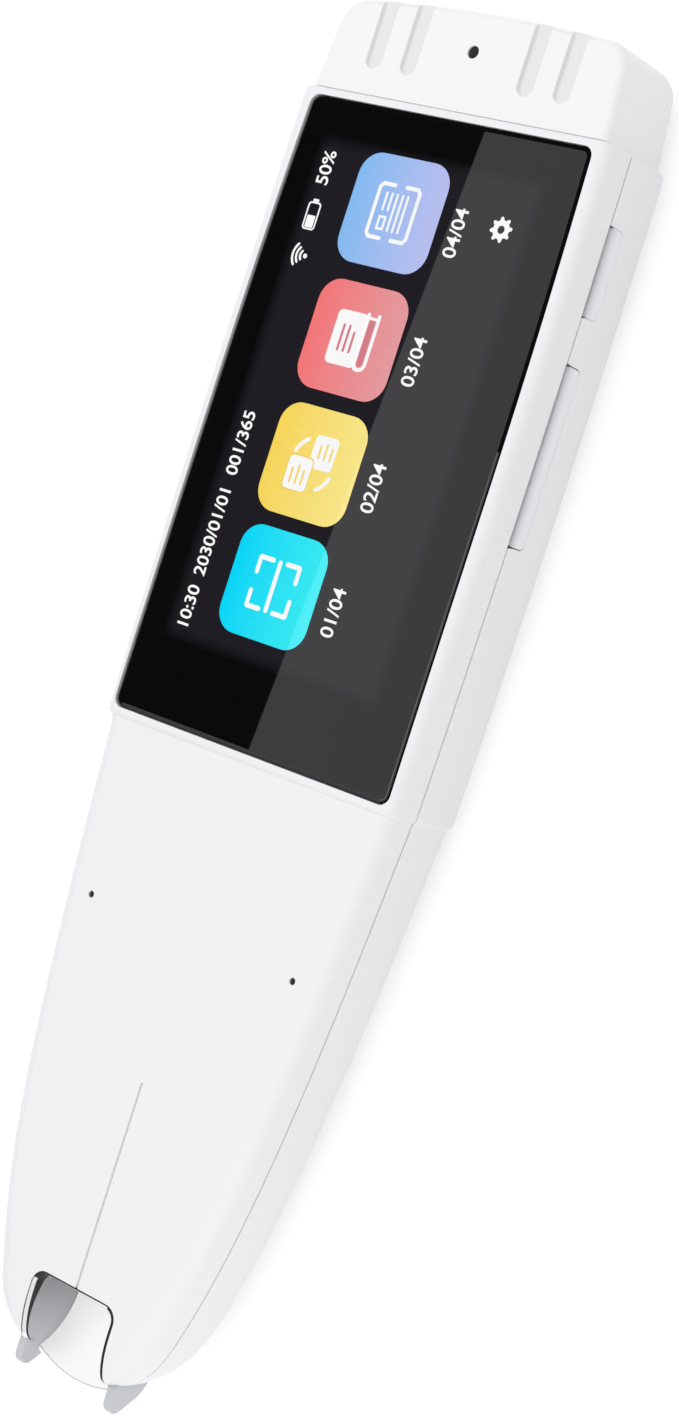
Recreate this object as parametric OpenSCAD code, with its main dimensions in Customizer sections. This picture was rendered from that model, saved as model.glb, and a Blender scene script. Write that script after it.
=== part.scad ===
// Handheld scanning translator: a pen with a display section, a tapering handle and a nose fork.
// It lies on its back. +Z is the way the display faces, +Y points to the end cap, and the side
// buttons are on +X. The origin is on the flat back, under the centre of the cover glass.

/* [Display section] */
// Width of the cover glass
glass_w = 37; // [36:0.5:38]
// Length of the cover glass
glass_l = 67.2; // [64:0.2:70]
// Thickness of the cover glass
glass_t = 0.8; // [0.7:0.05:1]
// How much narrower each side of the glass is at the cap end
glass_bow = 0.7; // [0:0.1:0.8]
// Housing beside the glass, at the display section's middle
bezel_side = 1.6; // [1.5:0.1:2.5]
// How much narrower each side of the display section is at its ends
block_bow = 0.35; // [0:0.05:0.5]
// Housing beyond the glass at the cap end
bezel_end = 0.9; // [0.7:0.1:2]
// Housing beyond the glass at the handle end
bezel_foot = 1; // [0.8:0.1:2]
// Thickness of the display section
body_t = 13.6; // [13.6:0.1:15]
// Depth of the seam between the housings below the glass
front_t = 4.05; // [3.9:0.05:4.2]
// Wall of both housings and the end cap
wall = 1.5; // [1.3:0.1:1.6]

/* [Handle] */
// Length of the handle from the display section to the nose tip
handle_l = 65.8; // [64:0.2:72]
// Step in from each side of the display section to the handle
handle_inset = 0.65; // [0.5:0.05:0.9]
// Width across the shoulders where the nose starts to round off
nose_w = 23.1; // [22.5:0.1:24]
// Length of the rounded nose
nose_l = 7.4; // [7:0.1:8]
// Step down from the glass to the handle's front
handle_drop = 0.5; // [0.4:0.05:0.8]
// Step up from the flat back to the handle's back
handle_step = 0.5; // [0.3:0.05:0.8]

/* [End cap] */
// Length of the end cap
cap_l = 10.6; // [10.4:0.1:12]
// Step in from each side of the display section to the cap
cap_inset = 1.3; // [1.1:0.1:2]
// Step from the display section's front and back to the cap
cap_step = 0.5; // [0.3:0.1:0.8]
// Width of a grip groove
groove_w = 2; // [1.6:0.1:2.2]

/* [Buttons] */
// Length of the power button
power_l = 9.2; // [8:0.2:10]
// Length of the volume rocker
rocker_l = 18.6; // [18:0.2:20]
// Width of both buttons
button_w = 2.6; // [2.4:0.1:2.8]
// How far the buttons stand out of the side
button_proud = 0.35; // [0.3:0.05:0.5]
// Travel of the power button
button_travel = 0.3; // [0.2:0.05:0.35]

/* [Nose] */
// Width of the aiming window between its rims
window_w = 11; // [10:0.2:11]
// Thickness of a fork prong
prong_t = 1.1; // [0.9:0.1:1.2]
// How far the prongs stand out of the nose
prong_out = 1.9; // [1.5:0.1:2.5]
// Travel of the fork
fork_travel = 0.5; // [0.3:0.1:0.6]

/* [Inside] */
// Length of the battery
battery_l = 44; // [36:1:46]
// Thickness of the battery
battery_t = 4.1; // [3.5:0.1:4.2]
// Thickness of the circuit boards
board_t = 0.8; // [0.7:0.1:0.9]

/* [Hidden] */
$fn = 48;

// Clearances
gap = 0.1;          // between fitted pieces of one body
run_gap = 0.3;      // between a moving piece and what it passes
slot_gap = 0.15;    // all round a button in its slot
tip_gap = 0.45;     // beside the ends of the rocker, which swing as it tips
pin_gap = 0.04;     // all round a pin or a screw shank in its hole
past = 1;           // how far a cut runs beyond the solid it opens

// Main widths, and the room between the display section's side walls on each side of the middle
block_w = glass_w + 2 * bezel_side;
handle_w = block_w - 2 * handle_inset;
cap_w = block_w - 2 * cap_inset;
room_x = block_w / 2 - wall;

// Main places along the pen
y_end = glass_l / 2 + bezel_end;
y_foot = -glass_l / 2 - bezel_foot;
y_tip = y_foot - handle_l;
y_nose = y_tip + nose_l;
y_cap = y_end + cap_l;
z_seam = body_t - front_t;

// Front wall under the glass: the glass, its tape and the ledge that carries them
tape_t = 0.15;
ledge_t = 1;
front_wall = glass_t + tape_t + ledge_t;

// Edges of the display section
edge_r = 1;         // front edges
back_r = 4;         // back edges
foot_r = 1;         // rounding where the section steps down to the handle
end_r = 0.4;        // rounding at the cap end
draft = 0.3;        // slant of the end walls inside

// Shape of the handle's outline: the slant of its sides at both ends and how far each slant holds
slant_top = 4;
slant_nose = 18.5;
hold_top = 0.43 * (y_foot - y_nose);
hold_nose = 0.24 * (y_foot - y_nose);
side_curve = [
    [handle_w / 2, y_foot],
    [handle_w / 2 - hold_top * sin(slant_top), y_foot - hold_top * cos(slant_top)],
    [nose_w / 2 + hold_nose * sin(slant_nose), y_nose + hold_nose * cos(slant_nose)],
    [nose_w / 2, y_nose]
];
nose_hold = 0.7 * nose_l;
nose_flat = 0.65 * nose_w / 2;
nose_curve = [
    [nose_w / 2, y_nose],
    [nose_w / 2 - nose_hold * sin(slant_nose), y_nose - nose_hold * cos(slant_nose)],
    [nose_flat, y_tip],
    [0, y_tip]
];

// Side view of the handle: its front and back close in slowly, then round off at the nose
front_fall = 0.1;
back_rise = 0.9;
y_front_round = y_tip + 6.4;
y_back_round = y_tip + 10.4;
nose_edge_r = 2.6;
y_edge_soft = y_tip + 22;

// A point, and the direction, on a cubic curve with four control points
function curve(p, t) =
    pow(1 - t, 3) * p[0] + 3 * pow(1 - t, 2) * t * p[1] + 3 * (1 - t) * t * t * p[2] + t * t * t * p[3];
function heading(p, t) =
    let (d = pow(1 - t, 2) * (p[1] - p[0]) + 2 * (1 - t) * t * (p[2] - p[1]) + t * t * (p[3] - p[2]))
    d / norm(d);
// A point of the curve moved inwards by d, followed by the y it was moved from
function inward(p, t, d) =
    let (h = heading(p, t), q = curve(p, t) + d * [h[1], -h[0]])
    [q[0], q[1], curve(p, t)[1]];

// Half width of the display section
function block_x(y) = block_w / 2 - block_bow * pow(y / y_end, 2);
// Height of the handle's front and back
function front_z(y) =
    let (fall = front_fall * (y_foot - y) / (y_foot - y_front_round),
         z = body_t - handle_drop - min(fall, front_fall),
         u = max(0, y_front_round - y) / (y_front_round - y_tip))
    z_seam + (z - z_seam) * sqrt(max(0, 1 - u * u));
function back_z(y) =
    let (rise = back_rise * (y_foot - y) / (y_foot - y_back_round),
         z = handle_step + min(rise, back_rise),
         u = max(0, y_back_round - y) / (y_back_round - y_tip + 0.3))
    z_seam - (z_seam - z) * sqrt(max(0, 1 - u * u));
// Rounding of the handle's front edges, softer towards the nose
function soft(y) = let (t = min(1, max(0, y_edge_soft - y) / 16)) t * t * (3 - 2 * t);
function front_r(y) = edge_r + (nose_edge_r - edge_r) * soft(y);

// An arch from the seam on the right, round over the face at height z, to the seam on the left
function arch(x, y, z, r, step) =
    let (up = z > z_seam ? 1 : -1,
         q = max(0.15, min(r, abs(z - z_seam) - 0.05, x - 0.05)))
    concat(
        [[x, y, z_seam]],
        [for (a = [0 : step : 90]) [x - q + q * cos(a), y, z + up * (q * sin(a) - q)]],
        [for (a = [90 : step : 180]) [-x + q + q * cos(a), y, z + up * (q * sin(a) - q)]],
        [[-x, y, z_seam]]);
// An arch with no height left, for where the hollow ends
function flat_arch(x, y, n) = [for (i = [0 : n - 1]) [x * (1 - 2 * i / (n - 1)), y, z_seam]];
function reversed(list) = [for (i = [len(list) - 1 : -1 : 0]) list[i]];

// The housings' sections, from the cap end to the nose. Each holds the outside as [x, y, z, r] and
// the inside as [x, y, z, r], or as [x, y] where the hollow has ended. Front and back share them:
// face gives the height of the section's outer face, in that of its inner face.
function block_face(front, shrink) = front ? body_t - shrink : shrink;
function block_in(front) = front ? body_t - front_wall : wall;
function handle_face(front, y) = front ? front_z(y) : back_z(y);
function handle_in(front, y) = front
    ? max(front_z(y) - wall, z_seam + 0.25)
    : min(back_z(y) + wall, z_seam - 0.25);
function edge(front, y) = front ? (y < y_foot ? front_r(y) : edge_r) : back_r;
function block_places(front) =
    let (r = edge(front, 0), r_in = max(0.3, r - wall), z_in = block_in(front),
         y_hook = y_foot + wall + draft)
    concat(
        [for (a = [90 : -30 : 30])
            let (s = end_r * (1 - cos(a)), y = y_end - end_r * (1 - sin(a)), x = block_x(y) - s)
            [[x, y, block_face(front, s), r], [x - wall, y]]],
        [[[block_x(y_end - wall), y_end - wall, block_face(front, 0), r],
          [block_x(y_end - wall) - wall, y_end - wall]]],
        [for (k = [0 : 5])
            let (y = y_end - wall - draft - k / 5 * (y_end - wall - draft - y_hook), x = block_x(y))
            [[x, y, block_face(front, 0), r], [x - wall, y, z_in, r_in]]]);
function foot_places(front) =
    let (x_in = handle_w / 2 - wall,
         z_in = handle_in(front, y_foot),
         r_in = max(0.3, edge(front, 0) - wall))
    concat(
        [[[block_x(y_foot + wall), y_foot + wall, block_face(front, 0), edge(front, 0)],
          [x_in, y_foot + wall, z_in, r_in]]],
        [for (a = [0 : 30 : 90])
            let (y = y_foot + foot_r * (1 - sin(a)), t = 1 - cos(a))
            [[block_x(y) * (1 - t) + handle_w / 2 * t, y,
              block_face(front, 0) * (1 - t) + handle_face(front, y_foot) * t, edge(front, 0)],
             [x_in, y - 0.01, z_in, r_in]]]);
function handle_places(front, path, steps) =
    [for (t = steps)
        let (o = inward(path, t, 0), i = inward(path, t, wall), r = edge(front, o[1]))
        [[o[0], o[1], handle_face(front, o[1]), r],
         [i[0], i[1], handle_in(front, o[1]), max(0.3, r - wall)]]];
function tip_places(front) =
    let (o = inward(nose_curve, 0.94, 0),
         i = inward(nose_curve, 0.94, wall),
         last = inward(nose_curve, 0.98, 0))
    [[[o[0], o[1], handle_face(front, o[1]), 1], [i[0], i[1]]],
     [[last[0], last[1], handle_face(front, last[1]), 1], [last[0] / 2, last[1]]]];
function places(front) = concat(
    block_places(front),
    foot_places(front),
    handle_places(front, side_curve, [0.06, 0.13, 0.22, 0.32, 0.42, 0.52, 0.62, 0.72, 0.81, 0.9]),
    handle_places(front, nose_curve, [for (t = [0 : 0.125 : 0.9]) t]),
    tip_places(front));

// One half of the hollow pen, its outer and inner skins closed into one wall along the seam
module half_shell(front) {
    step = front ? 22.5 : 15;
    n = 4 + 2 * 90 / step;
    rings = [for (p = places(front))
        let (o = p[0], i = p[1])
        concat(
            arch(o[0], o[1], o[2], o[3], step),
            reversed(len(i) > 2 ? arch(i[0], i[1], i[2], i[3], step) : flat_arch(i[0], i[1], n)))];
    closed_skin(rings, [for (i = [0 : n - 2]) strip(i, n)], !front);
}
// The two triangles that close a wall's end between outer and inner points i and i + 1
function strip(i, n) =
    let (o = i, p = i + 1, a = 2 * n - 1 - i, b = 2 * n - 2 - i)
    i < n / 2 ? [[o, p, a], [p, b, a]] : [[o, p, b], [o, b, a]];

// A skin through equal rings. ends holds the faces that close the first ring, in groups
module closed_skin(rings, ends, flip) {
    n = len(rings[0]);
    last = len(rings) - 1;
    sides = [for (j = [0 : last - 1]) for (i = [0 : n - 1])
        let (a = j * n + i, b = j * n + (i + 1) % n)
        each [[a, a + n, b + n], [a, b + n, b]]];
    first_end = [for (group = ends) each group];
    last_end = [for (f = first_end) reversed([for (v = f) v + last * n])];
    faces = concat(first_end, sides, last_end);
    polyhedron(
        points = [for (ring = rings) each ring],
        faces = flip ? [for (f = faces) reversed(f)] : faces,
        convexity = 8);
}
// A solid through equal convex rings
module skin(rings) {
    closed_skin(rings, [[[for (i = [0 : len(rings[0]) - 1]) i]]], false);
}

// The solid front of the handle, drawn in by d
module handle_front(d) {
    skin([for (p = concat(
            handle_places(true, side_curve, [0.72, 0.81, 0.9]),
            handle_places(true, nose_curve, [for (t = [0 : 0.125 : 0.9]) t])))
        arch(p[0][0] - d, p[0][1], p[0][2] - d, p[0][3], 22.5)]);
}
// The pen's outline at the seam, drawn in by d
module outline(d) {
    block = [for (k = [0 : 6]) let (y = y_end - d - k / 6 * (y_end - y_foot - 2 * d)) [block_x(y) - d, y]];
    handle = concat(
        [[handle_w / 2 - d, y_foot + d + past]],
        [for (t = [0.06, 0.22, 0.42, 0.62, 0.81]) let (p = inward(side_curve, t, d)) [p[0], p[1]]],
        [for (t = [0 : 0.25 : 0.9]) let (p = inward(nose_curve, t, d)) [p[0], p[1]]],
        [[0, y_tip + d]]);
    for (side = [block, handle])
        polygon(concat(side, [for (p = reversed(side)) [-p[0], p[1]]]));
}

// A rectangle with round corners, centred
module round_rect(w, l, r) {
    square([w - 2 * r, l], center = true);
    square([w, l - 2 * r], center = true);
    for (x = [-1, 1], y = [-1, 1])
        translate([x * (w / 2 - r), y * (l / 2 - r)])
            circle(r);
}
// A box from its lowest corner to its highest corner
module span(low, high) {
    translate(low)
        cube(high - low);
}
// A plate with round corners, centred on a point in X and Y and standing on its z
module plate(at, w, l, t, r) {
    translate(at)
        linear_extrude(t)
            round_rect(w, l, r);
}
// A profile in Y and Z drawn out along X, centred
module across(w) {
    translate([-w / 2, 0, 0])
        rotate([90, 0, 90])
            linear_extrude(w)
                children();
}
// A rod along Y
module rod_y(at, r, l) {
    translate(at)
        rotate([-90, 0, 0])
            cylinder(h = l, r = r);
}

// ---- Display stack -------------------------------------------------------------------------
z_glass = body_t - glass_t;
z_ledge = z_glass - tape_t;
glass_r = 1.1;
glass_gap = 0.06;
// The panel sits off centre under the glass, where the picture is
panel = [2.2 - glass_w / 2, 6.2 - glass_l / 2, glass_w / 2 - 3.2, glass_l / 2 - 2.5];
panel_w = panel[2] - panel[0];
panel_l = panel[3] - panel[1];
panel_at = [(panel[0] + panel[2]) / 2, (panel[1] + panel[3]) / 2, 0];
bond_t = 0.05;
panel_t = 1.1;
tray_t = 1.2;
z_panel = z_glass - bond_t - panel_t;
z_tray = z_panel - tray_t;
chassis_t = 1;
z_chassis = z_tray - 0.1 - chassis_t;

// Half width of the glass, whose long sides draw in towards the cap end
function glass_x(y) = glass_w / 2 - glass_bow * pow(max(0, y) / (glass_l / 2), 2);
// The glass's outline, grown by d
module glass_outline(d) {
    r = glass_r + d;
    y_corner = glass_l / 2 - glass_r;
    side = [for (y = [-y_corner, each [0 : y_corner / 6 : y_corner]]) [glass_x(y) + d, y]];
    right = concat(
        [[side[0][0] - r, -y_corner - r]],
        side,
        [[side[len(side) - 1][0] - r, y_corner + r]]);
    polygon(concat(right, [for (p = reversed(right)) [-p[0], p[1]]]));
    for (x = [-1, 1], y = [-1, 1])
        translate([x * (glass_x(y * y_corner) + d - r), y * y_corner])
            circle(r);
}

module cover_glass() {
    color("black")
        translate([0, 0, z_glass])
            linear_extrude(glass_t)
                glass_outline(0);
}

module glass_tape() {
    color("dimgray")
        difference() {
            translate([0, 0, z_ledge])
                linear_extrude(tape_t)
                    glass_outline(-0.2);
            plate(panel_at + [0, 0, z_ledge - past], panel_w + 0.8, panel_l + 0.8, tape_t + 2 * past, 0.5);
        }
}

module display_panel() {
    color("darkslategray")
        plate(panel_at + [0, 0, z_panel], panel_w, panel_l, panel_t, 0.4);
}

module backlight_tray() {
    color("silver")
        plate(panel_at + [0, 0, z_tray], panel_w, panel_l, tray_t, 0.4);
}

// ---- Chassis and boards --------------------------------------------------------------------
chassis_x = [1.3 - room_x, room_x - 4.2];
chassis_y = [y_foot + 2.2, y_end - 2.9];
chassis_mid = [(chassis_x[0] + chassis_x[1]) / 2, (chassis_y[0] + chassis_y[1]) / 2];
chassis_hole = [room_x - 4.6, chassis_y[0] + 2];
main_z = z_chassis - 1.65 - board_t;
main_x = [chassis_x[0] + 0.3, chassis_x[1]];
main_y = [chassis_y[0] + 4, chassis_y[1] - 0.2];
board_hole_x = [main_x[0] + 2.4, main_x[1] - 2.8];
board_hole_y = [main_y[0] + 3.8, main_y[1] - 4];
shank_r = 0.7;
head_r = 1.3;
head_t = 0.7;
boss_r = 1.6;
flex_w = 12;

// A screw that points up, with its head under z
module screw(at, z, l) {
    translate([at[0], at[1], z - head_t]) {
        difference() {
            cylinder(h = head_t, r = head_r);
            for (a = [0, 90])
                rotate(a)
                    translate([0, 0, 0.1])
                        cube([1.4, 0.3, 0.6], center = true);
        }
        translate([0, 0, head_t])
            cylinder(h = l, r = shank_r);
    }
}
module screw_hole(at, low, high) {
    translate([at[0], at[1], low])
        cylinder(h = high - low, r = shank_r + pin_gap);
}

module chassis() {
    color("gainsboro")
        difference() {
            union() {
                span([chassis_x[0], chassis_y[0], z_chassis],
                     [chassis_x[1], chassis_y[1], z_chassis + chassis_t]);
                for (x = board_hole_x, y = board_hole_y)
                    translate([x, y, main_z + board_t])
                        cylinder(h = z_chassis - main_z - board_t + 0.2, r = boss_r);
                for (x = [-1, 1])
                    translate([x * chassis_hole[0], chassis_hole[1], z_chassis])
                        cylinder(h = chassis_t, r = 2);
            }
            for (x = board_hole_x, y = board_hole_y)
                screw_hole([x, y], main_z, z_chassis + 0.4);
            for (x = [-1, 1])
                screw_hole([x * chassis_hole[0], chassis_hole[1]],
                           z_chassis - past, z_chassis + chassis_t + past);
            // Way through for the display's flex, and openings that save weight
            span([-flex_w / 2 - 0.5, chassis_y[0] - past, z_chassis - past],
                 [flex_w / 2 + 0.5, chassis_y[0] + 3.4, z_chassis + chassis_t + past]);
            for (k = [-1 : 1])
                plate([chassis_mid[0], chassis_mid[1] + 3.4 + 17 * k, z_chassis - past],
                      board_hole_x[1] - board_hole_x[0] - 4.2, 12, chassis_t + 2 * past, 2);
        }
}

module chassis_screws() {
    color("silver")
        for (x = [-1, 1])
            screw([x * chassis_hole[0], chassis_hole[1]], z_chassis, chassis_t + 1.6);
}

port_h = 3.26;
port_w = 8.94;
port_l = 7.3;
port_wall = 0.3;
port_back = 0.25;
port_y = y_cap - port_back;
port_z = main_z + board_t / 2;
tail_w = 20;
tail_y = y_cap - 3.6;

module main_board() {
    color("darkgreen")
        difference() {
            union() {
                span([main_x[0], main_y[0], main_z], [main_x[1], main_y[1], main_z + board_t]);
                span([-tail_w / 2, main_y[1] - past, main_z], [tail_w / 2, tail_y, main_z + board_t]);
            }
            // Notch that the port drops into
            span([-port_w / 2 - gap, port_y - port_l - gap, main_z - past],
                 [port_w / 2 + gap, y_cap, body_t]);
            for (x = board_hole_x, y = board_hole_y)
                screw_hole([x, y], main_z - past, main_z + board_t + past);
        }
}

module board_screws() {
    color("silver")
        for (x = board_hole_x, y = board_hole_y)
            screw([x, y], main_z, board_t + 1.5);
}

module shield_cans() {
    color("lightgray") {
        plate([chassis_mid[0] - 2.5, main_y[0] + 16.4, main_z + board_t], 18, 16, 1.3, 0.5);
        plate([chassis_mid[0] - 0.5, main_y[1] - 18.4, main_z + board_t], 14, 12, 1.3, 0.5);
    }
}

// Parts soldered to the main board: connectors on top, power parts and the battery socket below
socket_at = [chassis_mid[0] - 2.5, main_y[1] - 11.8];
module board_chips() {
    color("black") {
        plate([0, main_y[0] + 2.2, main_z + board_t], flex_w, 2.4, 1, 0.2);
        plate([chassis_mid[0] - 6.5, main_y[1] - 6.9, main_z + board_t], 5, 5, 1, 0.2);
        plate([chassis_mid[0] + 7.5, main_y[1] - 7.4, main_z + board_t], 4, 3, 0.8, 0.2);
        plate([main_x[1] - 3.9, main_y[1] - 27.4, main_z + board_t], 5, 6, 0.9, 0.2);
        plate([socket_at[0], socket_at[1], main_z - 0.8], 5, 3, 0.8, 0.2);
        plate([chassis_mid[0] + 8.5, socket_at[1], main_z - 0.9], 4, 4, 0.9, 0.2);
        plate([main_x[0] + 5, socket_at[1], main_z - 0.9], 5, 3, 0.9, 0.2);
    }
}

// The display's flex leaves the tray, folds through the chassis and plugs in from above
flex_t = 0.12;
module display_flex() {
    z_plug = main_z + board_t + 1;
    y_fold = main_y[0] - 1.2;
    color("orange")
        across(flex_w - 2) {
            translate([y_fold, z_tray + 0.5])
                square([panel[1] - y_fold, flex_t]);
            translate([y_fold, z_plug])
                square([flex_t, z_tray + 0.5 + flex_t - z_plug]);
            translate([y_fold, z_plug])
                square([main_y[0] + 2.8 - y_fold, flex_t]);
        }
}

// ---- Battery -------------------------------------------------------------------------------
battery_w = 2 * room_x - 7.2;
battery_x = 2.6 - room_x + battery_w / 2;
battery_y = y_end - 20.5;
z_battery = wall + 0.15;
module battery() {
    color("slategray")
        plate([battery_x, battery_y - battery_l / 2, z_battery], battery_w, battery_l, battery_t, 1.5);
}
module battery_tape() {
    color("khaki")
        for (x = [battery_x - 8, battery_x + 8])
            span([x - 4, battery_y - battery_l + 4, wall], [x + 4, battery_y - 4, z_battery]);
}
// Two leads run from the pouch to a plug that sits under the board's socket
module battery_plug() {
    z_socket = main_z - 0.8;
    z_lead = z_battery + battery_t - 0.9;
    color("white")
        span([socket_at[0] - 2.2, socket_at[1] - 1.3, z_socket - 1.4],
             [socket_at[0] + 2.2, socket_at[1] + 1.3, z_socket]);
    color("red")
        for (x = [-1, 1])
            rod_y([socket_at[0] + x, battery_y, z_lead], 0.4, socket_at[1] - 1.3 - battery_y);
}
module antenna() {
    color("orange")
        plate([battery_x - 7, battery_y + 11, wall], 12, 8, 0.15, 0.5);
}

// ---- Side keys -----------------------------------------------------------------------------
power_y = y_end - 11.9;
rocker_y = power_y - 18.9;
button_r = 0.7;
button_z = z_seam - gap - button_w;
flange = 0.6;
flange_t = 0.5;
power_x = block_x(power_y) + button_proud;
rocker_x = block_x(rocker_y) + button_proud;
power_in = block_x(power_y + power_l / 2) - wall - run_gap;
rocker_in = block_x(rocker_y - rocker_l / 2) - wall - tip_gap;
key_x = room_x - 3;
key_t = 0.4;
key_y = [rocker_y - rocker_l / 2 - 1.4, power_y + power_l / 2 + 0.8];
key_z = [button_z - 2.05, z_seam - 0.35];
stem_gap = button_travel + 0.05;
switch_ends = power_in - flange_t - stem_gap;
tip_y = rocker_l / 2 - 2.4;
pin_x = room_x - 1.6;
pin_r = 0.5;
lug_r = 1;
lug_z = [button_z, z_seam - gap];
ear_t = 0.4;
ear_w = 2.4;
ear_z = [lug_z[0] - run_gap - ear_t, lug_z[1] + run_gap];

// A bar with round corners that runs along Y, from x_in out to x_out
module side_bar(y, l, x_in, x_out, low, high, r) {
    translate([x_in, y, (low + high) / 2])
        rotate([90, 0, 90])
            linear_extrude(x_out - x_in)
                round_rect(l, high - low, r);
}
module button_slot(y, l) {
    side_bar(y, l + 2 * slot_gap, block_w / 2 - wall - 1.5, block_w / 2 + past,
             button_z - slot_gap, z_seam + 3, button_r);
}

module power_button() {
    color("gainsboro") {
        side_bar(power_y, power_l, power_in - flange_t, power_x, button_z, z_seam - gap, button_r);
        side_bar(power_y, power_l + 2 * flange, power_in - flange_t, power_in,
                 button_z - flange, z_seam - gap, button_r);
    }
}

module volume_rocker() {
    color("gainsboro")
        difference() {
            union() {
                side_bar(rocker_y, rocker_l, rocker_in - flange_t, rocker_x,
                         button_z, z_seam - gap, button_r);
                side_bar(rocker_y, rocker_l + 2 * flange, rocker_in - flange_t, rocker_in,
                         button_z - flange, z_seam - gap, button_r);
                translate([pin_x, rocker_y, lug_z[0]])
                    cylinder(h = lug_z[1] - lug_z[0], r = lug_r);
            }
            translate([pin_x, rocker_y, button_z - past])
                cylinder(h = button_w + 2 * past, r = pin_r + pin_gap);
            // Notch in the flange that clears the lower ear
            span([pin_x, rocker_y - ear_w / 2 - run_gap, button_z - flange - past],
                 [rocker_in + gap, rocker_y + ear_w / 2 + run_gap, lug_z[0]]);
        }
}

module rocker_pin() {
    color("silver")
        translate([pin_x, rocker_y, ear_z[0]])
            cylinder(h = ear_z[1] + ear_t - ear_z[0], r = pin_r);
}

// Sheet-metal holder behind the key board, hung under the chassis, with two ears for the pin
module key_bracket() {
    color("silver")
        difference() {
            union() {
                span([key_x - 0.4, key_y[0], key_z[0]], [key_x, key_y[1], z_chassis]);
                span([chassis_x[1] - 1, key_y[0], z_chassis - 0.4], [key_x, key_y[1], z_chassis]);
                span([key_x - 0.4, rocker_y - ear_w / 2, key_z[0]],
                     [key_x, rocker_y + ear_w / 2, ear_z[1] + ear_t]);
                for (z = ear_z)
                    span([key_x - 0.4, rocker_y - ear_w / 2, z],
                         [pin_x + pin_r + 0.4, rocker_y + ear_w / 2, z + ear_t]);
            }
            translate([pin_x, rocker_y, key_z[0] - past])
                cylinder(h = body_t, r = pin_r + pin_gap);
        }
}

module key_board() {
    color("orange")
        difference() {
            span([key_x, key_y[0], key_z[0]], [key_x + key_t, key_y[1], key_z[1]]);
            span([key_x - past, rocker_y - ear_w / 2 - run_gap, ear_z[0] - run_gap],
                 [key_x + key_t + past, rocker_y + ear_w / 2 + run_gap, body_t]);
        }
}

module key_switches() {
    body = [0.7, 3, 2.6];
    z = button_z + button_w / 2;
    color("dimgray")
        for (y = [power_y, rocker_y - tip_y, rocker_y + tip_y])
            translate([key_x + key_t, y, z]) {
                translate([0, -body[1] / 2, -body[2] / 2])
                    cube(body);
                rotate([0, 90, 0])
                    cylinder(h = switch_ends - key_x - key_t, r = 0.7);
            }
}

// ---- End cap -------------------------------------------------------------------------------
cap_r = 3.2;
cap_taper = 0.7;
cap_arch = 0.9;
cap_front_r = 1.3;
cap_back_r = 3.4;
z_cap = [cap_step, body_t - cap_step];
groove_x = [6.9 - cap_w / 2, 11.4 - cap_w / 2, cap_w / 2 - 11.4, cap_w / 2 - 6.9];
groove_depth = 0.6;
groove_y = y_end + 2.8;
cap_hole_y = y_end + 6.3;
cap_hole_r = 0.68;
spigot_w = cap_w - 4.6;
spigot_z = [z_cap[0] + 2.3, z_cap[1] - 2.9];
spigot_l = 1.9;

// The cap's outline drawn in by e: straight base, slightly tapered sides, round corners, arched end
function cap_outline(e) =
    let (w = cap_w / 2 - e,
         r = max(0.4, cap_r - e),
         x = w - cap_taper - r,
         y = y_cap - e,
         drop = cap_arch * pow(x / (cap_w / 2), 2),
         right = concat(
             [[w, y_end]],
             [for (a = [0 : 18 : 90]) [x + r * cos(a), y - drop - r + r * sin(a)]],
             [for (k = [1 : 5]) let (u = x * (1 - k / 5)) [u, y - cap_arch * pow(u / (cap_w / 2), 2)]]))
    concat(right, [for (k = [len(right) - 2 : -1 : 0]) [-right[k][0], right[k][1]]]);

module cap_body() {
    skin(concat(
        [for (a = [90 : -22.5 : 0])
            [for (p = cap_outline(cap_back_r * (1 - cos(a))))
                [p[0], p[1], z_cap[0] + cap_back_r * (1 - sin(a))]]],
        [for (a = [0 : 22.5 : 90])
            [for (p = cap_outline(cap_front_r * (1 - cos(a))))
                [p[0], p[1], z_cap[1] - cap_front_r * (1 - sin(a))]]]));
}

module end_cap() {
    color("white")
        difference() {
            union() {
                cap_body();
                // Spigot that locates the cap in the housings
                span([-spigot_w / 2, y_end - spigot_l, spigot_z[0]],
                     [spigot_w / 2, y_end + 0.5, spigot_z[1]]);
            }
            // Hollow behind the end wall, and the way into it through the spigot
            intersection() {
                translate([0, 0, z_cap[0] + wall])
                    linear_extrude(z_cap[1] - z_cap[0] - 2 * wall)
                        polygon(cap_outline(wall + 0.6));
                span([-cap_w, y_end + wall, 0], [cap_w, y_cap, body_t]);
            }
            span([-spigot_w / 2 + 1, y_end - spigot_l - past, spigot_z[0] + 1],
                 [spigot_w / 2 - 1, y_end + wall + past, spigot_z[1] - 1]);
            for (x = groove_x) {
                translate([x, groove_y + groove_w / 2, z_cap[1] - groove_depth])
                    cylinder(h = 2, r = groove_w / 2);
                span([x - groove_w / 2, groove_y + groove_w / 2, z_cap[1] - groove_depth],
                     [x + groove_w / 2, y_cap + past, body_t + past]);
            }
            translate([0, cap_hole_y, z_cap[1] - wall - past])
                cylinder(h = wall + 2 * past, r = cap_hole_r);
            translate([0, y_cap - 3.5, port_z])
                rotate([-90, 0, 0])
                    linear_extrude(5)
                        round_rect(port_w + 2 * gap, port_h + 2 * gap, (port_h + 2 * gap) / 2 - 0.01);
        }
}

module usb_shell() {
    color("silver")
        translate([0, port_y, port_z])
            rotate([90, 0, 0])
                difference() {
                    linear_extrude(port_l)
                        round_rect(port_w, port_h, port_h / 2 - 0.01);
                    translate([0, 0, -past])
                        linear_extrude(port_l - 1 + past)
                            round_rect(port_w - 2 * port_wall, port_h - 2 * port_wall,
                                       port_h / 2 - port_wall - 0.01);
                }
}

module usb_tongue() {
    color("black")
        translate([-3.35, port_y - port_l + 1, port_z - 0.35])
            cube([6.7, port_l - 1.8, 0.7]);
}

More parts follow.
